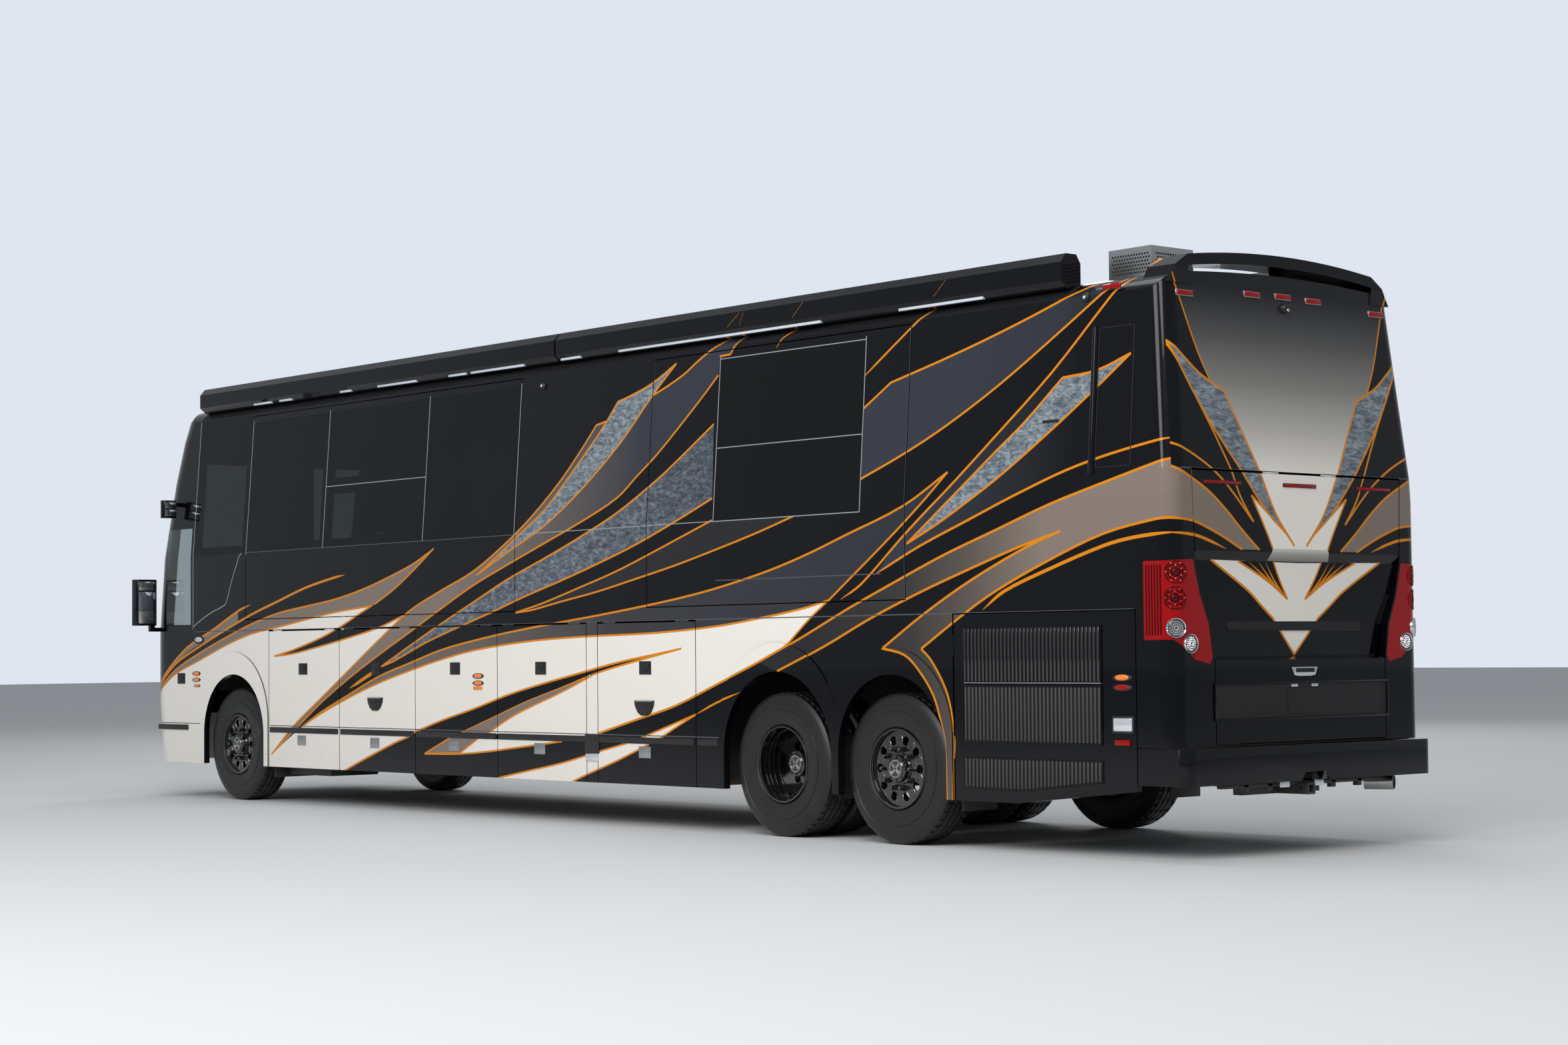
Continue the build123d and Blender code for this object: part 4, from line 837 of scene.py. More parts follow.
def cutSkin(corners, layers, flatten, lift):
    # corners: triangles of the skin with their normals. Cuts them along the outlines and returns the new
    # triangles with their finish, lifted back onto the skin.
    spots, faces = [], []
    for triangle in corners:
        faces.append(list(range(len(spots), len(spots) + 3)))
        spots += counterClockwise([flatten(point) for point, normal in triangle])
    skinCount = len(faces)
    xs = [s.x for s in spots]
    ys = [s.y for s in spots]
    used = []
    for finish, outline in layers:
        ox = [s.x for s in outline]
        oy = [s.y for s in outline]
        if max(ox) < min(xs) or min(ox) > max(xs) or max(oy) < min(ys) or min(oy) > max(ys):
            continue
        used.append(finish)
        faces.append(list(range(len(spots), len(spots) + len(outline))))
        spots += counterClockwise(outline)
    if not used:
        return None
    cut = delaunay_2d_cdt(spots, [], faces, 1, paintDict["cutWeld"], True)
    points, tris, fromFaces = cut[0], cut[2], cut[5]
    pieces = []
    for tri, sources in zip(tris, fromFaces):
        skins = [index for index in sources if index < skinCount]
        tops = [index - skinCount for index in sources if index >= skinCount]
        finish = used[max(tops)] if tops else None
        for skin in skins:
            pieces.append((finish, [lift(points[i], corners[skin]) for i in tri]))
    return pieces


def liftOnto(flatten):
    # puts a flat point back on its triangle, with the normal there
    def lift(spot, triangle):
        a, b, c = (flatten(point) for point, normal in triangle)
        whole = (b - a).cross(c - a)
        shareB = (spot - a).cross(c - a) / whole
        shareC = (b - a).cross(spot - a) / whole
        shareA = 1 - shareB - shareC
        point = triangle[0][0] * shareA + triangle[1][0] * shareB + triangle[2][0] * shareC
        normal = triangle[0][1] * shareA + triangle[1][1] * shareB + triangle[2][1] * shareC
        return point, normal.normalized()

    return lift


def fromSide(point):
    return Vector((point.x, point.z))


def fromRear(point):
    return Vector((point.y, point.z))


def paintPanel(node, body, base):
    # a copy of a panel with the paint scheme cut into its skin
    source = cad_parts[node].data
    normals = source.corner_normals
    groups = {"left": [], "right": [], "rear": [], "rest": []}
    for face in source.polygons:
        triangle = [(source.vertices[source.loops[i].vertex_index].co.copy(), normals[i].vector.copy())
                    for i in face.loop_indices]
        middle = sum((point for point, normal in triangle), Vector()) / 3
        across, along = face.normal.y, face.normal.x
        kind = "rest"
        seen = paintDict["seenFrom"]
        if abs(across) >= abs(along) and abs(across) > seen and abs(middle.y) > paintDict["skinHalf"]:
            if across * middle.y > 0:
                kind = "left" if across > 0 else "right"
        elif along < -seen and middle.x < paintDict["rearX"]:
            kind = "rear"
        groups[kind].append(triangle)
    names = [base]
    built = []
    for kind, flatten, layers in (
        ("left", fromSide, sideLayers),
        ("right", fromSide, sideLayers),
        ("rear", fromRear, rearLayers),
    ):
        cut = cutSkin(groups[kind], layers, flatten, liftOnto(flatten)) if groups[kind] else None
        if cut is None:
            built += [(None, triangle) for triangle in groups[kind]]
            continue
        for finish, triangle in cut:
            turned = (triangle[1][0] - triangle[0][0]).cross(triangle[2][0] - triangle[0][0])
            if turned.dot(triangle[0][1]) < 0:
                triangle = triangle[::-1]
            built.append((finish, triangle))
    built += [(None, triangle) for triangle in groups["rest"]]
    places, verts, faces, marks, shade = {}, [], [], [], []
    for finish, triangle in built:
        corners = []
        for point, normal in triangle:
            key = tuple(round(value / paintDict["weld"]) for value in point)
            if key not in places:
                places[key] = len(verts)
                verts.append(point)
            corners.append(places[key])
        if len(set(corners)) < 3:
            continue
        finish = finish or base
        if finish not in names:
            names.append(finish)
        faces.append(corners)
        marks.append(names.index(finish))
        shade += [normal for point, normal in triangle]
    mesh = bpy.data.meshes.new("painted_" + node)
    mesh.from_pydata(verts, [], faces)
    for name in names:
        mesh.materials.append(finishes[name])
    mesh.polygons.foreach_set("material_index", marks)
    mesh.polygons.foreach_set("use_smooth", [True] * len(faces))
    mesh.normals_split_custom_set(shade)
    obj = bpy.data.objects.new("painted_" + node, mesh)
    bpy.context.scene.collection.objects.link(obj)
    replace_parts(obj, node)
    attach(obj, body)


# panel, body it moves with, base finish, slot
paintedPanels = [
    ("left_wall", "root", "black", "body_paint"),
    ("right_wall", "root", "black", "body_paint"),
    ("front_cap", "root", "black", "body_paint"),
    ("front_bumper", "root", "pearl", "lower_paint"),
    ("rear_cap", "root", "black", "body_paint"),
    ("roof", "root", "roofSatin", "body_paint"),
    ("awnings", "root", "black", "awning_black"),
    ("entry_door", "entry_door", "black", "body_paint"),
    ("engine_door", "engine_door", "black", "body_paint"),
    ("radiator_door", "radiator_door", "black", "lower_paint"),
    ("front_slide", "front_slide", "black", "body_paint"),
    ("rear_slide", "rear_slide", "black", "body_paint"),
    ("left_lower_panels", "root", "black", "lower_paint"),
    ("right_lower_panels", "root", "black", "lower_paint"),
]
for hand in ("left", "right"):
    for number in range(1, 6):
        name = f"{hand}_baggage_door_{number}"
        paintedPanels.append((name, name, "black", "lower_paint"))
for node, body, base, slotName in paintedPanels:
    paintPanel(node, body, base)
print("painted panels:", len(paintedPanels))


# Carried-over nodes and their finishes
nodeFinishes = {
    "chassis": ["front_axle", "drive_axle", "tag_axle", "front_subframe", "rear_subframe", "hitch_receiver",
                "left_steering_knuckle", "right_steering_knuckle", "bay_bulkheads"],
    "board": ["bay_floor"],
    "carpet": ["deck", "driver_deck"],
    "iron": ["engine"],
    "dash": ["dashboard"],
    "tinted": ["side_windows", "front_slide_windows", "rear_slide_windows"],
    "clear": ["windshield"],
    "lensClear": ["headlights"],
    "redLens": ["tail_lights"],
    "steel": ["roof_vent_box"],
    "wheelBlack": [f"{axle}_{hand}_rim" for axle in ("front", "drive", "tag") for hand in ("left", "right")],
    "rubber": [f"{axle}_{hand}_tyre" for axle in ("front", "drive", "tag") for hand in ("left", "right")],
}
for finish, nodes in nodeFinishes.items():
    for node in nodes:
        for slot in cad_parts[node].material_slots:
            slot.material = finishes[finish]
print("carried nodes finished")


# Modelling helpers: each part is made at the origin and then put in its place
def joinInto(target, part, place=None):
    if place is not None:
        bmesh.ops.transform(part, matrix=place, verts=part.verts)
    holder = bpy.data.meshes.new("holder")
    part.to_mesh(holder)
    part.free()
    target.from_mesh(holder)
    bpy.data.meshes.remove(holder)


def roundEdges(part, edges, width, segments=2):
    bmesh.ops.bevel(part, geom=edges, offset=width, offset_type="OFFSET", affect="EDGES", segments=segments,
                    profile=0.5, material=-1, clamp_overlap=True)


def newBlock(low, high, rounding=0.0, segments=2):
    part = bmesh.new()
    bmesh.ops.create_cube(part, size=1)
    size = [b - a for a, b in zip(low, high)]
    middle = [(a + b) / 2 for a, b in zip(low, high)]
    bmesh.ops.scale(part, vec=size, verts=part.verts)
    bmesh.ops.translate(part, vec=middle, verts=part.verts)
    if rounding:
        roundEdges(part, list(part.edges), rounding, segments)
    return part


def newPlaque(width, depth, height, rounding=0.003, segments=2):
    # block that stands on the skin: X along it, Y out of it, Z up
    return newBlock((-width / 2, -0.002, -height / 2), (width / 2, depth, height / 2), rounding, segments)


def newRod(start, end, radius, steps=16, endRadius=None):
    part = bmesh.new()
    start, end = Vector(start), Vector(end)
    far = radius if endRadius is None else endRadius
    bmesh.ops.create_cone(part, cap_ends=True, segments=steps, radius1=radius, radius2=far,
                          depth=(end - start).length)
    turn = (end - start).to_track_quat("Z", "Y").to_matrix().to_4x4()
    bmesh.ops.transform(part, matrix=Matrix.Translation((start + end) / 2) @ turn, verts=part.verts)
    return part


def newDome(width, depth, height, steps=16):
    # flattened ball on the skin
    part = bmesh.new()
    bmesh.ops.create_uvsphere(part, u_segments=steps, v_segments=steps // 2, radius=1)
    bmesh.ops.scale(part, vec=(width / 2, depth, height / 2), verts=part.verts)
    return part


def newTurned(profile, steps, closed=True):
    # profile of (across, radius) points turned about the Y axis
    part = bmesh.new()
    verts = [part.verts.new((0, across, radius)) for across, radius in profile]
    pairs = list(zip(verts, verts[1:] + (verts[:1] if closed else [])))
    edges = [part.edges.new(pair) for pair in (pairs if closed else pairs[: len(verts) - 1])]
    bmesh.ops.spin(part, geom=verts + edges, cent=(0, 0, 0), axis=(0, 1, 0), dvec=(0, 0, 0), angle=2 * pi,
                   steps=steps, use_merge=True, use_duplicate=False)
    bmesh.ops.remove_doubles(part, verts=part.verts, dist=paintDict["cutWeld"])
    bmesh.ops.recalc_face_normals(part, faces=part.faces)
    return part


def newOutline(points, depth, rounding=0.0):
    # flat outline of (x, z) points made a plate that stands out along Y
    part = bmesh.new()
    face = part.faces.new([part.verts.new((x, 0, z)) for x, z in points])
    moved = bmesh.ops.extrude_face_region(part, geom=[face])
    outer = [item for item in moved["geom"] if isinstance(item, bmesh.types.BMVert)]
    bmesh.ops.translate(part, vec=(0, depth, 0), verts=outer)
    bmesh.ops.recalc_face_normals(part, faces=part.faces)
    if rounding:
        roundEdges(part, list(part.edges), rounding)
    return part


def newPiece(name, shape, finish, body="root", sharp=38):
    bmesh.ops.recalc_face_normals(shape, faces=shape.faces)
    mesh = bpy.data.meshes.new(name)
    shape.to_mesh(mesh)
    shape.free()
    mesh.materials.append(finishes[finish])
    mesh.polygons.foreach_set("use_smooth", [True] * len(mesh.polygons))
    mesh.set_sharp_from_angle(angle=radians(sharp))
    obj = bpy.data.objects.new(name, mesh)
    bpy.context.scene.collection.objects.link(obj)
    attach(obj, body)
    return obj


leanAngle = atan2(bodyHalf - eaveHalf, eaveZ - leanZ)
rearX, rearLeanZ, rearLean = -6.830, 2.520, 0.115
rearAngle = atan2(rearLean, eaveZ - rearLeanZ)


def onSide(side, x, z, out=0.0):
    tilt = Matrix.Rotation(side * leanAngle, 4, "X") if z > leanZ else Matrix()
    face = Matrix.Rotation(pi, 4, "Z") if side < 0 else Matrix()
    return Matrix.Translation((x, side * sideY(z, out), z)) @ tilt @ face


def onRear(y, z, out=0.0, skin=0.0):
    # skin: how far the surface there lies forward of the flat tail
    lean = max(0.0, z - rearLeanZ) / (eaveZ - rearLeanZ) * rearLean
    tilt = Matrix.Rotation(rearAngle, 4, "Y") if z > rearLeanZ else Matrix()
    return Matrix.Translation((rearX + lean + skin - out, y, z)) @ tilt @ Matrix.Rotation(pi / 2, 4, "Z")


# the engine door's surface steps in below its ledge: height and depth
doorProfile = [(1.990, 0.0), (1.930, 0.028), (1.310, 0.070), (1.285, 0.0)]


def doorSkin(z):
    for (top, start), (foot, end) in zip(doorProfile, doorProfile[1:]):
        if foot < z <= top:
            return start + (end - start) * (top - z) / (top - foot)
    return 0.0


hands = {"left": 1, "right": -1}


# Shortcuts for parts that repeat
def newParts(*finishNames):
    return {finish: bmesh.new() for finish in finishNames}


def shift(x, y, z):
    return Matrix.Translation((x, y, z))


def spin(angle, axis="Y"):
    return Matrix.Rotation(angle, 4, axis)


def sided(side, profile):
    return [(side * across, radius) for across, radius in profile]


def addRows(parts, rows, placeOf):
    # rows: finish, maker, its sizes, and then what the place needs
    for finish, maker, sizes, *spot in rows:
        joinInto(parts[finish], maker(*sizes), placeOf(*spot))


def newStack(rows):
    # plaques on one another: distance out and up, then the sizes
    part = bmesh.new()
    for out, up, *sizes in rows:
        joinInto(part, newPlaque(*sizes), shift(0, out, up))
    return part


def addRods(target, spots, radius, steps, closed=False):
    for a, b in zip(spots, spots[1:] + (spots[:1] if closed else [])):
        joinInto(target, newRod(a, b, radius, steps))


def newPieces(parts, names, body="root"):
    for (finish, shape), name in zip(parts.items(), names):
        newPiece(name, shape, finish, body)


# Wheels: treaded tyres, nuts, hub caps and bright hand holes
wheelDict = {
    "radius": 0.535,
    "bead": 0.2863,
    "half": 0.150,
    "track": 1.100,
    "dual": 0.760,
    "steps": 96,
    # sidewall as (in from the side, out from the bead), shoulder as (in from the side, in from the tread)
    "sidewall": [(0.028, 0), (0.012, 0.012), (0.006, 0.035), (0.001, 0.07), (0, 0.11), (0, 0.117),
                 (0.005, 0.120),
                 (0.005, 0.16), (0.002, 0.164), (0.006, 0.19)],
    "shoulder": [(0.012, 0.036), (0.018, 0.022), (0.030, 0.006)],
    "crown": 0.004,
    "grooves": (-0.078, -0.026, 0.026, 0.078),
    "grooveHalf": 0.006,
    "grooveDepth": 0.013,
    # tread cuts: on every such step, how far below the tread, from and to half width, margin, depth
    "cuts": [(2, 0.018, 0.085, 0.125, 0.0035, 0.007), (3, 0.003, 0.0, 0.07, 0.006, 0.004)],
    # outer faces of disc and hub
    "faces": (1.215, 1.245),
    "twinFaces": (0.930, 1.100),
    "nutCircle": 0.143,
    "nuts": 10,
    # from, to, radius, sides, end radius
    "nut": [(0, 0.022, 0.021, 6, 0.021), (0.018, 0.052, 0.0165, 14, 0.015)],
    "nutTip": (0.030, 0.008, 0.030, 12),
    "holeCircle": 0.205,
    "holeRim": [(0.0, 0.0335), (0.0015, 0.0335), (0.003, 0.0345), (0.0015, 0.0358), (0.0, 0.0358)],
    "holeBack": 0.006,
    "flange": [(0, 0.098), (0.006, 0.098), (0.010, 0.102), (0.010, 0.112), (0.004, 0.118), (0, 0.118)],
    "cap": [(0, 0.0), (0.010, 0.0), (0.010, 0.050), (0.014, 0.054), (0.014, 0.066), (0.006, 0.074),
            (0.004, 0.092),
            (0, 0.094)],
    "seat": 0.002,
    "bolts": 8,
    "bolt": (0.010, 0.007, 6),
    "boltCircle": 0.083,
    # half length, reach out and half width of the bars of the cross
    "cross": (0.050, 0.0165, 0.009, 0.002),
    "crossRing": [(0.012, 0.055), (0.0165, 0.056), (0.0165, 0.064), (0.012, 0.065)],
    # distance out, inner and outer radius
    "lips": [(1.236, 0.268, 0.2855)],
    "twinLips": [(1.150, 0.248, 0.262), (1.060, 0.238, 0.250)],
    "lipOut": 0.008,
    "lipBack": 0.006,
    "lipRound": 0.003,
}
axles = {"front": 5.075, "drive": -2.955, "tag": -4.200}


def tyreProfile():
    w = wheelDict
    half, edge = w["half"], w["grooveHalf"]
    side = [(half - inward, w["bead"] + out) for inward, out in w["sidewall"]]
    side += [(half - inward, w["radius"] - below) for inward, below in w["shoulder"]]
    tread = []
    for at in reversed(w["grooves"]):
        crown = w["radius"] - w["crown"] * (at / half) ** 2
        low = crown - w["grooveDepth"]
        tread += [(at + edge, crown), (at + edge / 2, low), (at - edge / 2, low), (at - edge, crown)]
    return side + tread + [(-across, radius) for across, radius in reversed(side)]


def newTyre():
    w = wheelDict
    part = newTurned(tyreProfile(), w["steps"])
    for every, below, near, far, margin, depth in w["cuts"]:
        chosen = []
        for face in part.faces:
            middle = face.calc_center_median()
            step = round((atan2(middle.z, middle.x) % (2 * pi)) / (2 * pi) * w["steps"] - 0.5)
            outside = hypot(middle.x, middle.z) > w["radius"] - below
            if outside and near <= abs(middle.y) < far and step % every == 0:
                chosen.append(face)
        bmesh.ops.inset_individual(part, faces=chosen, thickness=margin, depth=-depth, use_even_offset=True)
    return part


def newNut(side):
    part = bmesh.new()
    for near, far, *sizes in wheelDict["nut"]:
        joinInto(part, newRod((0, side * near, 0), (0, side * far, 0), *sizes))
    joinInto(part, newDome(*wheelDict["nutTip"]), shift(0, side * far, 0))
    return part


def buildWheel(axle, hand, x):
    w = wheelDict
    side = hands[hand]
    twin = axle == "drive"
    body = f"{axle}_{hand}_wheel"
    centre = shift(x, 0, w["radius"])
    rubber, fittings, bright = bmesh.new(), bmesh.new(), bmesh.new()
    for across in [w["track"]] + ([w["dual"]] if twin else []):
        joinInto(rubber, newTyre(), centre @ shift(0, side * across, 0))
    tyre = newPiece(f"{axle}_{hand}_treaded_tyre", rubber, "rubber", body, sharp=30)
    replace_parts(tyre, f"{axle}_{hand}_tyre")
    discFace, hubFace = w["twinFaces"] if twin else w["faces"]
    for index in range(w["nuts"]):
        nutTurn = spin(2 * pi * (index + 0.5) / w["nuts"])
        joinInto(fittings, newNut(side), centre @ nutTurn @ shift(0, side * discFace, w["nutCircle"]))
        if not twin:
            out = side * discFace - (0 if side > 0 else w["holeBack"])
            holeTurn = spin(2 * pi * index / w["nuts"])
            joinInto(bright, newTurned(w["holeRim"], 24), centre @ holeTurn @ shift(0, out, w["holeCircle"]))
    # flange rings of the hub, cap and its cross
    hub = centre @ shift(0, side * hubFace, 0)
    joinInto(fittings, newTurned(sided(side, w["flange"]), 40),
             centre @ shift(0, side * (discFace + w["seat"]), 0))
    joinInto(fittings, newTurned(sided(side, w["cap"]), 40, closed=False), hub)
    for index in range(w["bolts"]):
        length, radius, steps = w["bolt"]
        bolt = newRod((0, 0, 0), (0, side * length, 0), radius, steps)
        place = shift(0, side * (hubFace + w["seat"]), w["boltCircle"])
        joinInto(fittings, bolt, centre @ spin(2 * pi * index / w["bolts"]) @ place)
    long, reach, wide, rounding = w["cross"]
    for turn in (pi / 4, -pi / 4):
        bar = newBlock((-long, min(0, side * reach), -wide), (long, max(0, side * reach), wide), rounding)
        joinInto(bright, bar, hub @ spin(turn))
    joinInto(bright, newTurned(sided(side, w["crossRing"]), 40), hub)
    for across, inner, outer in w["lips"] + (w["twinLips"] if twin else []):
        lip = [(0, inner), (w["lipOut"], inner + w["lipRound"]), (w["lipOut"], outer - w["lipRound"]),
               (0, outer),
               (-w["lipBack"], (inner + outer) / 2)]
        joinInto(fittings, newTurned(sided(side, lip), 64), centre @ shift(0, side * across, 0))
    newPiece(f"{axle}_{hand}_nuts_and_hub", fittings, "wheelBlack", body)
    newPiece(f"{axle}_{hand}_wheel_trim", bright, "steel", body)


for axle, x in axles.items():
    for hand in hands:
        buildWheel(axle, hand, x)
print("wheels ready")


# Baggage door fittings: rub strips, paddle latches, ring latches and pull handles
doorDict = {
    "front": 4.414,
    "length": 1.2456,
    "seam": 0.008,
    "pillar": 0.158,
    "stripZ": 0.683,
    "stripShort": 0.034,
    # depth, height and rounding
    "strip": (0.007, 0.050, 0.003),
    "paddles": [3.797, 2.542, 1.287, 0.031, -1.371],
    "paddleZ": 1.252,
    "paddle": [
        (0, 0, 0.150, 0.006, 0.105, 0.005, 3),
        (0.005, 0, 0.126, 0.003, 0.080, 0.002),
        (0.006, 0.016, 0.104, 0.012, 0.034, 0.006, 3),
        (0.006, -0.024, 0.060, 0.006, 0.014, 0.003),
    ],
    "rings": [3.822, 2.567, 1.315, 0.051, -1.358],
    "ringZ": 0.592,
    "ring": [
        (0, 0, 0.150, 0.005, 0.092, 0.004),
        (0.005, 0, 0.104, 0.003, 0.056, 0.002),
        (0.007, 0.020, 0.086, 0.006, 0.010, 0.003),
    ],
    "pulls": {2: 2.556, 5: -1.360},
    "pullZ": 0.937,
    "pullPlate": [(-0.125, 0.060), (0.125, 0.060), (0.120, 0.020), (0.085, -0.035), (0.040, -0.058),
                  (-0.040, -0.058), (-0.085, -0.035), (-0.120, 0.020)],
    "pullDepth": (0.010, 0.004),
    "pullGrip": [(0.010, 0.030, 0.190, 0.006, 0.030, 0.004)],
    "pullLip": [(0.009, 0.055, 0.210, 0.005, 0.010, 0.002)],
}

for hand, side in hands.items():
    front = doorDict["front"]
    for number in range(1, 6):
        rear = front - doorDict["length"]
        body = f"{hand}_baggage_door_{number}"
        dark, bright = bmesh.new(), bmesh.new()
        strip = newPlaque(front - rear - doorDict["stripShort"], *doorDict["strip"])
        joinInto(dark, strip, onSide(side, (front + rear) / 2, doorDict["stripZ"]))
        paddleX, ringX = doorDict["paddles"][number - 1], doorDict["rings"][number - 1]
        joinInto(dark, newStack(doorDict["paddle"]), onSide(side, paddleX, doorDict["paddleZ"]))
        joinInto(bright, newStack(doorDict["ring"]), onSide(side, ringX, doorDict["ringZ"]))
        if number in doorDict["pulls"]:
            place = onSide(side, doorDict["pulls"][number], doorDict["pullZ"])
            joinInto(dark, newOutline(doorDict["pullPlate"], *doorDict["pullDepth"]), place)
            joinInto(dark, newStack(doorDict["pullGrip"]), place)
            joinInto(bright, newStack(doorDict["pullLip"]), place)
        newPiece(f"{body}_strip_and_latch", dark, "plastic", body)
        newPiece(f"{body}_ring_latch", bright, "steel", body)
        front = rear - (doorDict["pillar"] if number == 4 else doorDict["seam"])
print("door fittings ready")


# Fixed side fittings: rub strip ends, marker lamps, locks, dome cameras and light strips
sideDict = {
    "strips": [(6.580, 5.980), (-2.020, -2.270)],
    "entryFront": 6.486,
    "lockPlace": (6.115, 1.162),
    "lampShift": 0.045,
    # rim and lens depth, and the lens's share of width and height
    "rimDepth": 0.007,
    "lensDepth": 0.016,
    "lensShare": (0.76, 0.84),
    # middle x and z of each lamp, width, height, finish
    "lamps": [
        (5.815, 1.210, 0.170, 0.048, "amber"),
        (5.815, 1.149, 0.170, 0.044, "amber"),
        (5.802, 1.090, 0.136, 0.030, "amber"),
        (-0.655, 1.190, 0.020, 0.020, "lampWhite"),
    ],
    "tailLamps": [
        (-6.392, 1.179, 0.170, 0.050, "amber"),
        (-6.392, 1.115, 0.170, 0.048, "redLens"),
    ],
    "doorLamps": [(0.942, 1.187, 0.172, 0.050), (0.942, 1.127, 0.172, 0.046)],
    "fixed": [
        ("plastic", newPlaque, (0.190, 0.010, 0.150, 0.008), -0.672, 0.645),
        ("lampWhite", newPlaque, (0.170, 0.010, 0.060, 0.006), -0.672, 0.536),
        ("plastic", newDome, (0.210, 0.010, 0.086), 5.764, 1.542),
        ("lampWhite", newDome, (0.170, 0.016, 0.056), 5.764, 1.542),
        ("redLens", newPlaque, (0.158, 0.014, 0.032, 0.006), -6.269, 3.741),
        ("plastic", newDome, (0.066, 0.030, 0.066), -6.043, 3.690),
        ("lampWhite", newDome, (0.024, 0.006, 0.024), -6.043, 3.690, 0.027),
        ("plastic", newDome, (0.066, 0.030, 0.066), 0.088, 3.590),
        ("lampWhite", newDome, (0.024, 0.006, 0.024), 0.088, 3.590, 0.027),
    ],
    "doorRow": [("amber", newPlaque, (0.130, 0.008, 0.028, 0.003), 0.942, 1.086)],
    "lightStrips": [(4.834, 4.507), (4.355, 4.133), (3.271, 3.085), (2.631, 2.000), (1.488, 1.221),
                    (1.146, 0.360),
                    (-0.165, -0.436), (-0.950, -3.400), (-4.240, -5.090)],
    # y and z of their low and high edges
    "lightEdges": ((1.186, 3.777), (1.214, 3.797)),
}


def addLamp(lens, rim, place, width, height):
    shareX, shareZ = sideDict["lensShare"]
    joinInto(rim, newDome(width, sideDict["rimDepth"], height), place)
    joinInto(lens, newDome(width * shareX, sideDict["lensDepth"], height * shareZ), place)


for hand, side in hands.items():
    parts = newParts("plastic", "amber", "redLens", "lampWhite")
    rim = parts["plastic"]
    for front, rear in sideDict["strips"]:
        if side < 0 and rear > 5:
            rear = sideDict["entryFront"]
        strip = newPlaque(front - rear, *doorDict["strip"])
        joinInto(rim, strip, onSide(side, (front + rear) / 2, doorDict["stripZ"]))
    for x, z, width, height, finish in sideDict["lamps"]:
        shiftX = 0.0 if side > 0 else sideDict["lampShift"]
        addLamp(parts[finish], rim, onSide(side, x - shiftX, z), width, height)
    if side > 0:
        joinInto(rim, newStack(doorDict["paddle"]), onSide(side, *sideDict["lockPlace"]))
    else:
        for x, z, width, height, finish in sideDict["tailLamps"]:
            addLamp(parts[finish], rim, onSide(side, x, z), width, height)
    addRows(parts, sideDict["fixed"], partial(onSide, side))
    newPieces(parts, [f"{hand}_side_{word}" for word in ("trim", "ambers", "reds", "bright")])
    # door-mounted pair in the middle
    parts = newParts("plastic", "amber")
    for x, z, width, height in sideDict["doorLamps"]:
        addLamp(parts["amber"], parts["plastic"], onSide(side, x, z), width, height)
    addRows(parts, sideDict["doorRow"], partial(onSide, side))
    newPieces(parts, (f"{hand}_middle_lamp_rims", f"{hand}_middle_ambers"), f"{hand}_baggage_door_3")
strips = bmesh.new()
(lowY, lowZ), (highY, highZ) = sideDict["lightEdges"]
for front, rear in sideDict["lightStrips"]:
    joinInto(strips, newBlock((rear, lowY, lowZ), (front, highY, highZ), 0.003))
newPiece("awning_light_strips", strips, "ledStrip")
print("side fittings ready")


# Radiator door: three louvred panels with upright ribs, lamps and reflector; behind the ribs a near-black
# plate is painted shade
louvreDict = {
    "pitch": 0.0354,
    "ribWide": 0.017,
    "ribIn": 0.002,
    "ribOut": 0.013,
    "ribRound": 0.006,
    "ribGap": 0.004,
    "front": -4.938,
    "rear": -6.214,
    "bend": -5.500,
    # name, top, and bottom at the front, at the bend and at the rear, finish of the ribs
    "panels": [
        ("upper", 1.515, (1.148, 1.148, 1.148), "glossRib"),
        ("middle", 1.120, (0.745, 0.745, 0.745), "dullRib"),
        ("lower", 0.633, (0.430, 0.425, 0.500), "dullRib"),
    ],
    "backThick": 0.002,
    # distance out, radius and sides of the frame
    "frame": (0.004, 0.006, 8),
    # low and high z, depth and rounding of the trim bar
    "trimBar": (1.140, 1.152, 0.009, 0.003),
    "fixed": [
        ("plastic", newPlaque, (0.190, 0.006, 0.112, 0.003), -6.398, 0.875),
        ("lampWhite", newPlaque, (0.160, 0.014, 0.086, 0.008, 3), -6.398, 0.875),
        ("redLens", newPlaque, (0.130, 0.009, 0.034, 0.003), -6.392, 0.759),
    ],
}


def panelLow(lows, x):
    front, bend, rear = (louvreDict[key] for key in ("front", "bend", "rear"))
    if x > bend:
        return lows[0] + (lows[1] - lows[0]) * (front - x) / (front - bend)
    return lows[1] + (lows[2] - lows[1]) * (bend - x) / (bend - rear)


front, rear = louvreDict["front"], louvreDict["rear"]
for name, top, lows, finish in louvreDict["panels"]:
    ribs, frameLip, shadeBacking = bmesh.new(), bmesh.new(), bmesh.new()
    points = [(front, top), (rear, top), (rear, lows[2]), (louvreDict["bend"], lows[1]), (front, lows[0])]
    # near-black plate behind the ribs: painted shade of the gaps between them
    joinInto(shadeBacking, newOutline(points, louvreDict["backThick"]), shift(0, bodyHalf, 0))
    count = int((front - rear) / louvreDict["pitch"])
    half, gap = louvreDict["ribWide"] / 2, louvreDict["ribGap"]
    for index in range(count):
        x = front - (index + 0.5) * (front - rear) / count
        low = (x - half, bodyHalf - louvreDict["ribIn"], panelLow(lows, x) + gap)
        high = (x + half, bodyHalf + louvreDict["ribOut"], top - gap)
        joinInto(ribs, newBlock(low, high, louvreDict["ribRound"]))
    out, radius, steps = louvreDict["frame"]
    addRods(frameLip, [(x, bodyHalf + out, z) for x, z in points], radius, steps, closed=True)
    newPiece(f"louvre_{name}_ribs", ribs, finish, "radiator_door")
    newPiece(f"louvre_{name}_frame", frameLip, "black", "radiator_door")
    newPiece(f"louvre_{name}_back", shadeBacking, "seam", "radiator_door")
parts = newParts("steel", "plastic", "amber", "redLens", "lampWhite")
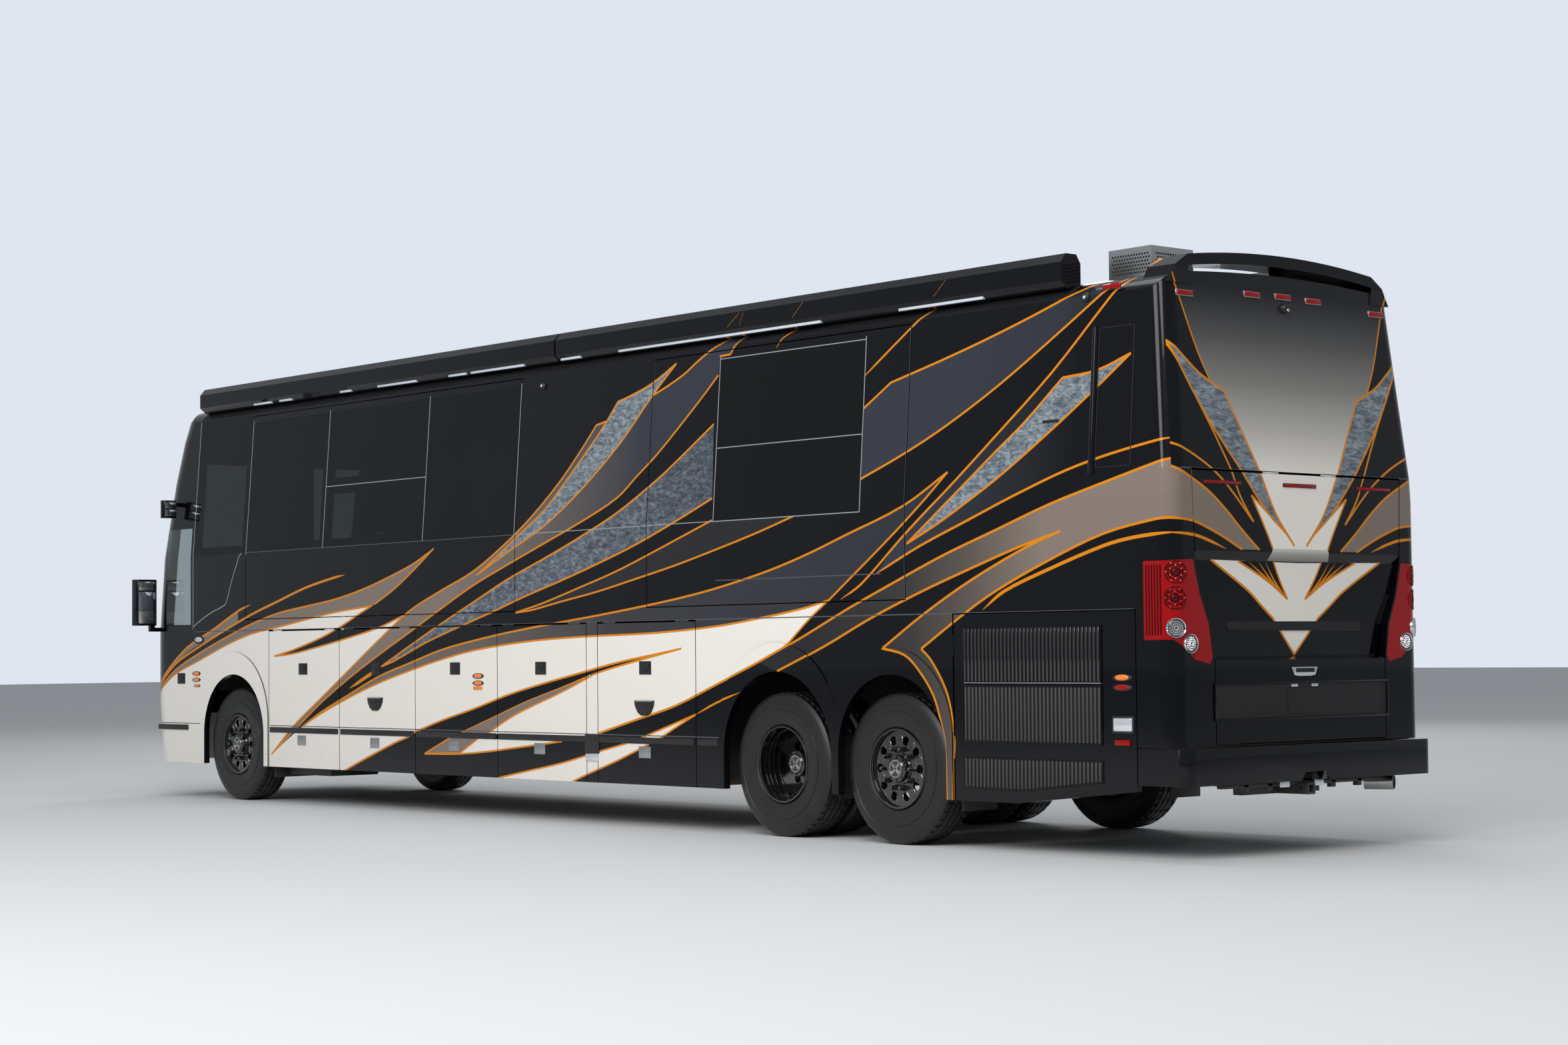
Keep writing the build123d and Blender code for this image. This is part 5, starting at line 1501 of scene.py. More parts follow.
lowZ, highZ, depth, rounding = louvreDict["trimBar"]
joinInto(parts["steel"], newBlock((rear, bodyHalf, lowZ), (front, bodyHalf + depth, highZ), rounding))
for x, z, width, height, finish in sideDict["tailLamps"]:
    addLamp(parts[finish], parts["plastic"], onSide(1, x, z), width, height)
addRows(parts, louvreDict["fixed"], partial(onSide, 1))
words = ("trim_bar", "lamp_rims", "amber", "reds", "docking_lamp")
newPieces(parts, [f"radiator_door_{word}" for word in words], "radiator_door")
print("louvres ready")


# Upper rear corner of each side: air channel, intake door, slot handle
cornerDict = {
    "channelX": -6.138,
    "channelZ": (2.510, 3.479),
    "channelIn": 0.004,
    # radius and sides of the channel, and of the dark line before it
    "channel": (0.026, 20),
    "lineShift": 0.030,
    "line": (0.006, 8),
    "door": [(-6.170, 2.550), (-6.478, 2.550), (-6.478, 3.470), (-6.170, 3.470)],
    "doorOut": 0.001,
    "seam": (0.0035, 6),
    # slot handle: a near-black matte plaque painted as the shade inside the slot
    "slot": [("seam", newPlaque, (0.148, 0.006, 0.020, 0.003), -5.755, 2.886)],
}
for hand, side in hands.items():
    parts = newParts("black", "seam")
    ends = [onSide(side, cornerDict["channelX"], z, -cornerDict["channelIn"]).translation
            for z in cornerDict["channelZ"]]
    addRods(parts["black"], ends, *cornerDict["channel"])
    addRods(parts["seam"], [end + Vector((cornerDict["lineShift"], 0, 0)) for end in ends],
            *cornerDict["line"])
    corners = [onSide(side, x, z, cornerDict["doorOut"]).translation for x, z in cornerDict["door"]]
    addRods(parts["seam"], corners, *cornerDict["seam"], closed=True)
    addRows(parts, cornerDict["slot"], partial(onSide, side))
    newPieces(parts, (f"{hand}_air_channel", f"{hand}_intake_seams"))
print("rear corners ready")


# Window dividers: thin bright lines between the panes
windowDict = {
    "wide": 0.007,
    "deep": 0.002,
    # body, side, x, low and high z
    "uprights": [
        ("root", 1, 5.880, 1.640, 3.690),
        ("front_slide", 1, 4.849, 2.340, 3.640),
        ("front_slide", 1, 3.452, 2.360, 3.640),
        ("front_slide", 1, 1.790, 2.360, 3.640),
        ("front_slide", 1, 0.405, 2.340, 3.640),
        ("rear_slide", 1, -2.226, 2.360, 3.640),
        ("rear_slide", 1, -3.885, 2.360, 3.640),
        ("root", -1, 5.868, 1.640, 3.690),
        ("root", -1, 3.452, 2.360, 3.640),
        ("root", -1, 1.790, 2.360, 3.640),
        ("root", -1, -2.226, 2.360, 3.640),
        ("root", -1, -3.885, 2.360, 3.640),
    ],
    # body, side, front and rear x, z
    "levels": [
        ("front_slide", 1, 3.449, 1.793, 2.925),
        ("rear_slide", 1, -2.229, -3.882, 2.925),
        ("rear_slide", 1, -2.229, -3.882, 2.364),
        ("rear_slide", 1, -2.229, -3.882, 3.612),
        ("root", -1, 3.449, 1.793, 2.925),
        ("root", -1, -2.229, -3.882, 2.925),
    ],
}
lines = {}
half, deep = windowDict["wide"] / 2, windowDict["deep"]
for body, side, x, low, high in windowDict["uprights"]:
    shape = lines.setdefault(body, bmesh.new())
    stations = [low, leanZ, high] if low < leanZ < high else [low, high]
    for z0, z1 in zip(stations, stations[1:]):
        bar = newBlock((x - half, -deep, 0), (x + half, deep, z1 - z0))
        tilt = spin(side * leanAngle, "X") if z0 >= leanZ - mm else Matrix()
        joinInto(shape, bar, shift(0, side * sideY(z0), z0) @ tilt)
for body, side, front, rear, z in windowDict["levels"]:
    bar = newBlock((rear, -deep, -half), (front, deep, half))
    joinInto(lines.setdefault(body, bmesh.new()), bar, shift(0, side * sideY(z), z))
for body, shape in lines.items():
    newPiece(f"{body}_window_lines", shape, "silver", body)
print("window lines ready")


# Tail: clearance lamps, strip lamps, round lamps, handles, licence recess, tailpipe
slotZ, slotLipZ = 1.508, 1.479
tailDict = {
    "clearance": [(1.000, 3.665), (0.320, 3.705), (0.0, 3.712), (-0.320, 3.705), (-1.000, 3.665)],
    "clearanceRows": [
        ("steel", newPlaque, (0.166, 0.006, 0.042, 0.003)),
        ("redLens", newPlaque, (0.150, 0.018, 0.032, 0.008, 3)),
    ],
    "camera": [
        ("plastic", newDome, (0.078, 0.045, 0.070), 0.0, 3.634),
        ("steel", newDome, (0.026, 0.010, 0.026), 0.0, 3.620, 0.040),
    ],
    "strips": [(0.790, 0.365), (0.0, 0.335), (-0.790, 0.365)],
    "stripZ": 2.437,
    "stripLens": (0.010, 0.018, 0.004),
    "stripFrame": (0.004, 0.026, 0.002),
    "stripGrow": 0.012,
    "handle": [(-0.134, 0.030), (0.134, 0.030), (0.110, -0.026), (0.060, -0.032), (-0.060, -0.032),
               (-0.110, -0.026)],
    # long finger slot, chrome handle and licence recess of the engine door; the slot and recesses are
    # near-black matte plaques, painted shade
    "door": [
        ("seam", newPlaque, (1.395, 0.004, 0.058, 0.003), 0, slotZ, 0, doorSkin(slotZ)),
        ("black", newPlaque, (1.360, 0.008, 0.007, 0.002), 0, slotLipZ, 0, doorSkin(slotLipZ)),
        ("seam", newPlaque, (0.190, 0.004, 0.028, 0.002), 0, 1.212, 0.019),
        ("seam", newPlaque, (1.774, 0.004, 0.228, 0.003), 0, 1.016),
        ("black", newPlaque, (1.80, 0.012, 0.012, 0.004), 0, 1.134),
        ("black", newPlaque, (1.80, 0.012, 0.012, 0.004), 0, 0.898),
        ("black", newPlaque, (0.014, 0.012, 0.240, 0.004), 0.895, 1.016),
        ("black", newPlaque, (0.014, 0.012, 0.240, 0.004), -0.895, 1.016),
        ("seam", newPlaque, (0.330, 0.010, 0.170, 0.004), 0, 1.010),
        ("chrome", newPlaque, (0.070, 0.016, 0.020, 0.004), 0.105, 1.113),
        ("chrome", newPlaque, (0.070, 0.016, 0.020, 0.004), -0.105, 1.113),
    ],
    # x, half width, z, radius and how far round the corner each one looks, in degrees
    "bullseyes": [(-6.811, 1.232, 1.852, 0.074, 33), (-6.807, 1.238, 1.686, 0.074, 36)],
    "clears": [(-6.810, 1.236, 1.494, 0.066, 31), (-6.830, 1.121, 1.394, 0.064, 0)],
    # share of the radius and distance out of each ring
    "rings": [(1.0, 0.007), (0.72, 0.006), (0.44, 0.005)],
    "depthShare": 0.70,
    "dots": 12,
    "dotReach": (0.86, 0.58),
    "dot": (0.012, 0.007, 0.012, 8),
    "facets": (0.25, 0.5, 0.75),
    "facet": (0.012, 0.004, 0.012, 8),
    "bowlDepth": 0.012,
    # first x, step, low and high z, radius and sides of the ribs round the corner
    "cornerRibs": (6, -6.730, 0.024, 1.450, 1.900, 0.006, 8),
    # under the bumper: corners and rounding
    "plates": [((-6.846, 0.177, 0.445), (-6.840, 0.275, 0.486), 0.002),
               ((-6.846, -0.180, 0.445), (-6.840, -0.082, 0.486), 0.002)],
    "brackets": (0.560, 0.320, -0.340, -0.620),
    "bracketHalf": 0.025,
    "rail": ((-6.80, -0.95, 0.452), (-6.75, 0.80, 0.478), 0.006),
    "tip": [(0.0, 0.052), (0.20, 0.052), (0.20, 0.047), (0.0, 0.047)],
    "tipPlace": (-6.66, -0.860, 0.435),
    "tipTurn": radians(115),
}
parts = newParts("steel", "redLens", "plastic")
for y, z in tailDict["clearance"]:
    addRows(parts, tailDict["clearanceRows"], lambda: onRear(y, z))
addRows(parts, tailDict["camera"], onRear)
newPieces(parts, ("clearance_lamp_rims", "clearance_lamps", "rear_camera"))

lenses = bmesh.new()
parts = newParts("seam", "black", "chrome")
for y, width in tailDict["strips"]:
    place = onRear(y, tailDict["stripZ"])
    joinInto(lenses, newPlaque(width, *tailDict["stripLens"]), place)
    joinInto(parts["seam"], newPlaque(width + tailDict["stripGrow"], *tailDict["stripFrame"]), place)
newPiece("door_strip_lamps", lenses, "redLens", "engine_door")
joinInto(parts["chrome"], newOutline(tailDict["handle"], 0.020, 0.006), onRear(0, 1.205))
addRows(parts, tailDict["door"], onRear)
newPieces(parts, ("engine_door_frames_and_recess_shade", "engine_door_rims", "engine_door_chrome"), "engine_door")


def lookOut(side, x, y, z, degrees):
    return shift(x, side * y, z) @ spin(pi / 2 - side * radians(degrees), "Z")


for hand, side in hands.items():
    dots, rings, deep, chrome, glow = (bmesh.new() for part in range(5))
    for x, y, z, radius, degrees in tailDict["bullseyes"]:
        place = lookOut(side, x, y, z, degrees)
        for share, out in tailDict["rings"]:
            r = radius * share
            ring = [(-0.002, r - 0.008), (out, r - 0.006), (out, r - 0.002), (-0.002, r)]
            joinInto(rings, newTurned(ring, 36), place)
        wide = radius * tailDict["depthShare"]
        joinInto(deep, newDome(wide, 0.010, wide, 20), place)
        # LED dots round each bullseye, painted lighter red as highlights
        for index in range(tailDict["dots"]):
            turn = 2 * pi * index / tailDict["dots"]
            reach = radius * tailDict["dotReach"][index % 2]
            joinInto(dots, newDome(*tailDict["dot"]),
                     place @ shift(reach * cos(turn), 0.002, reach * sin(turn)))
    for x, y, z, radius, degrees in tailDict["clears"]:
        place = lookOut(side, x, y, z, degrees)
        bezel = [(-0.014, radius - 0.010), (0.010, radius - 0.008), (0.014, radius - 0.003), (0.008, radius),
                 (-0.014, radius)]
        joinInto(chrome, newTurned(bezel, 40), place)
        wide = 2 * radius - 0.016
        joinInto(glow, newDome(wide, tailDict["bowlDepth"], wide, 24), place)
        for share in tailDict["facets"]:
            count = int(6 + share * 16)
            for index in range(count):
                turn = 2 * pi * index / count
                reach = (radius - 0.010) * share
                spot = shift(reach * cos(turn), tailDict["bowlDepth"] * sqrt(1 - share * share),
                             reach * sin(turn))
                joinInto(chrome, newDome(*tailDict["facet"]), place @ spot)
    # upright ribs in the part of the lamp that wraps round the corner
    count, startX, step, lowZ, highZ, *sizes = tailDict["cornerRibs"]
    y = side * (bodyHalf - mm)
    for index in range(count):
        x = startX + index * step
        joinInto(deep, newRod((x, y, lowZ), (x, y, highZ), *sizes))
    for word, shape, finish in (
        ("dots", dots, "redDotHighlight"),
        ("rings", rings, "redDeep"),
        ("depths", deep, "redDeep"),
        ("chrome", chrome, "chrome"),
        ("clear", glow, "lampSilver"),
    ):
        newPiece(f"{hand}_lamp_{word}", shape, finish)

parts = newParts("chassis", "lampWhite", "steel")
for low, high, rounding in tailDict["plates"]:
    joinInto(parts["lampWhite"], newBlock(low, high, rounding))
half = tailDict["bracketHalf"]
for y in tailDict["brackets"]:
    joinInto(parts["chassis"], newBlock((-6.80, y - half, 0.425), (-6.76, y + half, 0.490), 0.004))
joinInto(parts["chassis"], newBlock(*tailDict["rail"]))
place = shift(*tailDict["tipPlace"]) @ spin(tailDict["tipTurn"], "Z")
joinInto(parts["steel"], newTurned(tailDict["tip"], 28), place)
newPieces(parts, ("under_bumper_rail", "under_bumper_plates", "tailpipe_tip"))
print("tail ready")


# Places found on the skin of a node: out of it is +Y, up is +Z
def skinTree(*nodes):
    verts, faces = [], []
    for node in nodes:
        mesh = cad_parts[node].data
        start = len(verts)
        verts += [vertex.co.copy() for vertex in mesh.vertices]
        faces += [[start + index for index in face.vertices] for face in mesh.polygons]
    return BVHTree.FromPolygons(verts, faces)


def onSkin(tree, start, ahead, out=0.0):
    spot, normal = tree.ray_cast(Vector(start), Vector(ahead))[:2]
    across = Vector((0, 0, 1)).cross(normal).normalized()
    up = normal.cross(across)
    turn = Matrix((-across, normal, up)).transposed().to_4x4()
    return Matrix.Translation(spot + normal * out) @ turn


# Nodes whose edges are rounded: mirror heads and rear bumper
roundDict = {
    "weld": 1e-5,
    "flatAngle": radians(1.5),
    "edgeAngle": radians(40),
    "mirror": 0.034,
    "bumper": 0.055,
    # the bumper's rear edges, and the ends of its upper and lower ones
    "rearX": -6.90,
    "endY": 1.20,
    "endX": -6.86,
}


def roundNode(node, width, body, wanted, segments):
    shape = bmesh.new()
    shape.from_mesh(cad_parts[node].data)
    bmesh.ops.remove_doubles(shape, verts=shape.verts, dist=roundDict["weld"])
    bmesh.ops.dissolve_limit(shape, angle_limit=roundDict["flatAngle"], verts=shape.verts, edges=shape.edges)
    edges = []
    for edge in shape.edges:
        if len(edge.link_faces) == 2 and edge.calc_face_angle() > roundDict["edgeAngle"]:
            if wanted((edge.verts[0].co + edge.verts[1].co) / 2):
                edges.append(edge)
    roundEdges(shape, edges, width, segments)
    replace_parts(newPiece("rounded_" + node, shape, "black", body, 50), node)


def onBumperRim(middle):
    atEnd = abs(middle.y) > roundDict["endY"] and middle.x < roundDict["endX"]
    return atEnd or middle.x < roundDict["rearX"]


# Mirrors: rounded heads with their glasses
mirrorDict = {
    # x, middle y, width, low and high z of each glass
    "glasses": [
        (6.540, 1.440, 0.190, 2.040, 2.128),
        (6.540, 1.440, 0.190, 1.712, 2.024),
        (6.155, 1.390, 0.118, 2.845, 2.905),
        (6.155, 1.390, 0.118, 2.770, 2.832),
    ],
    # finish, edge round the glass, reach to the rear and to the front
    "layers": [("plastic", 0.006, 0.002, 0.004), ("mirror", 0, 0.005, 0.002)],
    "rounding": 0.002,
}
roundNode("mirrors", roundDict["mirror"], "root", lambda middle: True, 3)
parts = newParts("plastic", "mirror")
for x, y, width, low, high in mirrorDict["glasses"]:
    for side in (1, -1):
        for finish, edge, back, ahead in mirrorDict["layers"]:
            half = width / 2 + edge
            pane = newBlock((x - back, side * y - half, low - edge),
                            (x + ahead, side * y + half, high + edge),
                            mirrorDict["rounding"])
            joinInto(parts[finish], pane)
newPieces(parts, ("mirror_glass_rims", "mirror_glasses"))
print("mirrors ready")

roundNode("rear_bumper", roundDict["bumper"], "root", onBumperRim, 6)


# Roof: dark discs painted on the steel vent box as the shade in its holes, and the dark housing behind the
# hoop
ventDict = {
    "hole": 0.0085,
    "pitch": 0.024,
    "margin": 0.020,
    "deep": 0.0006,
    "foot": 3.850,
    # front to rear and across: corners of the housing's foot, and of its top
    "housingLow": [(-6.62, 0.02), (-6.62, -1.00), (-6.02, -1.00), (-6.02, 0.02)],
    "housingLean": (0.03, -0.10),
    "housingSquash": 0.94,
    "housingIn": (-0.20, 0.02),
    "housingMiddle": -6.3,
    "housingZ": (3.74, 3.935),
    "housingRound": 0.02,
}
low, high = (Vector(corner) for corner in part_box("roof_vent_box"))
holes = bmesh.new()


def addHoles(corner, stepA, stepB, countA, countB, turn):
    for a in range(countA):
        for b in range(countB):
            hole = bmesh.new()
            bmesh.ops.create_circle(hole, cap_ends=True, segments=8, radius=ventDict["hole"])
            spot = corner + stepA * (a + 0.5 * (b % 2)) + stepB * b
            joinInto(holes, hole, Matrix.Translation(spot) @ turn)


def holeCount(length):
    return int((length - 2 * ventDict["margin"]) / ventDict["pitch"])


along, across, upward = (Vector(axis) * ventDict["pitch"] for axis in ((1, 0, 0), (0, 1, 0), (0, 0, 1)))
edge, deep = ventDict["margin"], ventDict["deep"]
footZ = ventDict["foot"] + edge
countX, countY = holeCount(high.x - low.x), holeCount(high.y - low.y)
countZ = holeCount(high.z - ventDict["foot"])
for x, turn in ((low.x - deep, -pi / 2), (high.x + deep, pi / 2)):
    addHoles(Vector((x, low.y + edge, footZ)), across, upward, countY, countZ, spin(turn))
for y, turn in ((low.y - deep, pi / 2), (high.y + deep, -pi / 2)):
    addHoles(Vector((low.x + edge, y, footZ)), along, upward, countX, countZ, spin(turn, "X"))
newPiece("vent_box_hole_shade", holes, "seam")
housing = bmesh.new()
lowZ, highZ = ventDict["housingZ"]
lowRing = [housing.verts.new((x, y, lowZ)) for x, y in ventDict["housingLow"]]
highRing = []
for x, y in ventDict["housingLow"]:
    topX = x + ventDict["housingLean"][0 if x < ventDict["housingMiddle"] else 1]
    topY = y * ventDict["housingSquash"] + ventDict["housingIn"][0 if y > 0 else 1]
    highRing.append(housing.verts.new((topX, topY, highZ)))
housing.faces.new(highRing)
housing.faces.new(lowRing[::-1])
for index in range(4):
    after = (index + 1) % 4
    housing.faces.new((lowRing[index], lowRing[after], highRing[after], highRing[index]))
bmesh.ops.recalc_face_normals(housing, faces=housing.faces)
roundEdges(housing, list(housing.edges), ventDict["housingRound"], 3)
newPiece("roof_housing", housing, "plastic")
print("roof fittings ready")


# Seats: crowned leather pads with sewn channels on plain pedestals
seatDict = {
    # middle of the seat on its floor
    "places": [("driver", 6.045, 0.560, 1.100), ("guest", 5.255, -0.620, 1.600)],
    "cuts": 20,
    # pad, low and high corners, corner radius, crown depth, axis of the crown, channels as (axis, places)
    "pads": [
        ("cushion", (-0.204, -0.260, 0.334), (0.260, 0.260, 0.460), 0.045, 0.016, 2, (0, (-0.10, 0.0, 0.10))),
        ("back", (-0.330, -0.250, 0.400), (-0.210, 0.250, 1.056), 0.045, 0.014, 0, (2, (0.56, 0.70, 0.84))),
        ("headrest", (-0.320, -0.150, 1.062), (-0.230, 0.150, 1.230), 0.036, 0.010, 0, (2, ())),
    ],
    "channelDepth": 0.010,
    "channelHalf": 0.012,
    "channelFrom": 0.6,
    "bolsterAt": 0.72,
    "waist": 0.035,
    # low and high corners, rounding
    "stand": [
        ((-0.17, -0.17, 0.0), (0.17, 0.17, 0.050), 0.012),
        ((-0.13, -0.13, 0.045), (0.13, 0.13, 0.290), 0.020),
        ((-0.20, -0.22, 0.285), (0.22, 0.22, 0.333), 0.010),
        ((-0.290, -0.200, 0.300), (-0.235, 0.200, 0.398), 0.010),
    ],
    # arm rest and its post: x from and to, middle y, half width, z from and to, rounding
    "arms": [(-0.25, 0.17, 0.291, 0.029, 0.56, 0.62, 0.020, 3),
             (-0.245, -0.205, 0.277, 0.012, 0.34, 0.57, 0.008)],
    # headrest rod: x, y, z from and to, radius, sides
    "rod": (-0.275, 0.06, 1.04, 1.08, 0.008, 10),
}


def newPad(low, high, corner, crown, crownAxis, channels):
    part = bmesh.new()
    bmesh.ops.create_cube(part, size=2)
    bmesh.ops.subdivide_edges(part, edges=list(part.edges), cuts=seatDict["cuts"], use_grid_fill=True)
    half = [(b - a) / 2 for a, b in zip(low, high)]
    middle = Vector([(a + b) / 2 for a, b in zip(low, high)])
    channelAxis, stations = channels
    first, second = [i for i in range(3) if i != crownAxis]
    for vert in part.verts:
        share = vert.co.copy()
        full = Vector([share[i] * half[i] for i in range(3)])
        inner = Vector([max(-(half[i] - corner), min(half[i] - corner, full[i])) for i in range(3)])
        spot = inner + (full - inner).normalized() * corner
        # the faces are crowned: they sit back by the crown depth at their edges
        swell = (1 - share[first] ** 2) * (1 - share[second] ** 2)
        spot[crownAxis] -= share[crownAxis] * crown * (1 - max(0.0, swell) ** 0.5)
        spot[second] *= 1 - seatDict["waist"] * (1 - share[first] ** 2)
        spot[first] *= 1 - seatDict["waist"] * (1 - share[second] ** 2)
        place = spot + middle
        if abs(share[crownAxis]) > seatDict["channelFrom"]:
            groove = 0.0
            for station in stations:
                groove = max(groove, 1 - abs(place[channelAxis] - station) / seatDict["channelHalf"])
            fromBolster = abs(spot.y) / half[1] - seatDict["bolsterAt"]
            groove = max(groove if fromBolster < 0 else 0.0,
                         1 - abs(fromBolster) * half[1] / seatDict["channelHalf"])
            place[crownAxis] -= share[crownAxis] * seatDict["channelDepth"] * max(0.0, groove)
        vert.co = place
    bmesh.ops.recalc_face_normals(part, faces=part.faces)
    return part


for seat, *spot in seatDict["places"]:
    place = shift(*spot)
    for pad, *sizes in seatDict["pads"]:
        shape = bmesh.new()
        joinInto(shape, newPad(*sizes), place)
        piece = newPiece(f"{seat}_seat_{pad}", shape, "leather", sharp=180)
        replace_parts(piece, "front_seats")
    stand = bmesh.new()
    for sizes in seatDict["stand"]:
        joinInto(stand, newBlock(*sizes), place)
    for side in (1, -1):
        for x0, x1, y, half, z0, z1, *rounding in seatDict["arms"]:
            arm = newBlock((x0, side * y - half, z0), (x1, side * y + half, z1), *rounding)
            joinInto(stand, arm, place)
        x, y, z0, z1, *sizes = seatDict["rod"]
        joinInto(stand, newRod((x, side * y, z0), (x, side * y, z1), *sizes), place)
    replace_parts(newPiece(f"{seat}_seat_stand", stand, "plastic"), "front_seats")
print("seats ready")


# Front: lamp bowls, clearance lamps, fog lamps, grille, wipers
frontDict = {
    "from": 8,
    "bowls": [(0.780, 0.970, 0.076), (0.980, 0.970, 0.076)],
    "fogs": [(0.820, 0.600, 0.050)],
    "clearance": [(1.000, 3.560), (0.320, 3.600), (0.0, 3.605), (-0.320, 3.600), (-1.000, 3.560)],
    "lamp": [("plastic", newPlaque, (0.150, 0.006, 0.040, 0.003)), ("amber", newDome, (0.130, 0.020, 0.030))],
    # z and half width of each slat, and the pieces it is made of
    "slats": [(0.560, 0.40), (0.600, 0.44), (0.640, 0.46), (0.680, 0.46), (0.720, 0.46)],
    "slatSteps": 6,
    "slatOut": 0.003,
    "slatRadius": 0.009,
    # where the arm starts, where the blade crosses it, and the blade's ends, as (y, z)
    "wiper": ((0.900, 1.478), (0.700, 1.612), (0.450, 1.662), (0.980, 1.556)),
    "armOut": (0.014, 0.018),
    "bladeOut": 0.008,
    "bladeSteps": 5,
    # back and ahead of the arm's ends, radius, sides
    "pivot": (0.03, 0.012, 0.018, 14),
    "joint": (0.014, 0, 0.009, 8),
}
lampSkin = skinTree("headlights")
noseSkin = skinTree("front_cap", "front_bumper", "windshield", "headlights")
glassSkin = skinTree("windshield", "front_cap")


def onNose(tree, y, z, out=0.0):
    return onSkin(tree, (frontDict["from"], y, z), (-1, 0, 0), out)


def addKnob(target, spot, back, ahead, radius, steps):
    joinInto(target, newRod(spot - Vector((back, 0, 0)), spot + Vector((ahead, 0, 0)), radius, steps))


chrome, bulbs, slats = bmesh.new(), bmesh.new(), bmesh.new()
parts = newParts("plastic", "amber")
dark = parts["plastic"]
for side in (1, -1):
    for y, z, r in frontDict["bowls"]:
        place = onNose(lampSkin, side * y, z)
        bezel = [(0.0, r - 0.010), (0.007, r - 0.008), (0.009, r - 0.003), (0.004, r), (0.0, r)]
        inner = [(0.0, r * 0.60), (0.008, r * 0.62), (0.004, r * 0.70), (0.0, r * 0.72)]
        joinInto(chrome, newTurned(bezel, 40), place)
        joinInto(bulbs, newDome(r * 1.05, 0.016, r * 1.05, 24), place)
        joinInto(chrome, newTurned(inner, 36), place)
    for y, z, r in frontDict["fogs"]:
        place = onNose(noseSkin, side * y, z)
        joinInto(dark, newTurned([(0.0, r), (0.008, r + 0.004), (0.006, r + 0.016), (0.0, r + 0.020)], 36),
                 place)
        joinInto(bulbs, newDome(r * 2, 0.012, r * 2, 24), place)
for y, z in frontDict["clearance"]:
    addRows(parts, frontDict["lamp"], lambda: onNose(noseSkin, y, z))
for z, half in frontDict["slats"]:
    steps = frontDict["slatSteps"]
    stations = [half * (index / steps * 2 - 1) for index in range(steps + 1)]
    spots = [onNose(noseSkin, y, z, frontDict["slatOut"]).translation for y in stations]
    addRods(slats, spots, frontDict["slatRadius"], 8)
for side in (1, -1):
    start, cross, blade0, blade1 = [Vector((side * y, z)) for y, z in frontDict["wiper"]]
    arm = [onNose(glassSkin, *spot, out).translation for spot,
           out in zip((start, cross), frontDict["armOut"])]
    addRods(dark, arm, 0.007, 10)
    addKnob(dark, arm[0], *frontDict["pivot"])
    steps = frontDict["bladeSteps"]
    ends = [blade0 + (blade1 - blade0) * (index / steps) for index in range(steps + 1)]
    addRods(dark, [onNose(glassSkin, *end, frontDict["bladeOut"]).translation for end in ends], 0.008, 8)
    addKnob(dark, arm[1], *frontDict["joint"])
newPiece("front_lamp_bezels", chrome, "chrome")
newPiece("front_lamp_bulbs", bulbs, "lampWhite")
newPieces(parts, ("front_dark_trim", "front_clearance_lamps"))
newPiece("front_grille_slats", slats, "plastic")
print("front ready")


# Entry door: latch, rub strip, glass pane and grab rail
entryDict = {
    "from": -3,
    "latchPlace": (5.98, 1.420),
    "stripPlace": (6.18, 0.683),
    "strip": (0.560, 0.007, 0.050, 0.003),
    "glassSpot": (5.915, 2.10),
    # rear and front x, low and high z, distance in and thickness
    "glass": (5.944, 6.414, 1.686, 2.564, 0.012, 0.005),
    "railX": 5.800,
    "railZ": (1.640, 2.150),
    "railOut": 0.045,
    "rail": (0.014, 18),
    "footUp": 0.03,
    # each foot: from, to, radius, sides
    "feet": [(0, 0.050, 0.011, 14), (0.040, 0.048, 0.024, 18)],
}


def onEntry(tree, x, z, out=0.0):
    return onSkin(tree, (x, entryDict["from"], z), (0, 1, 0), out)


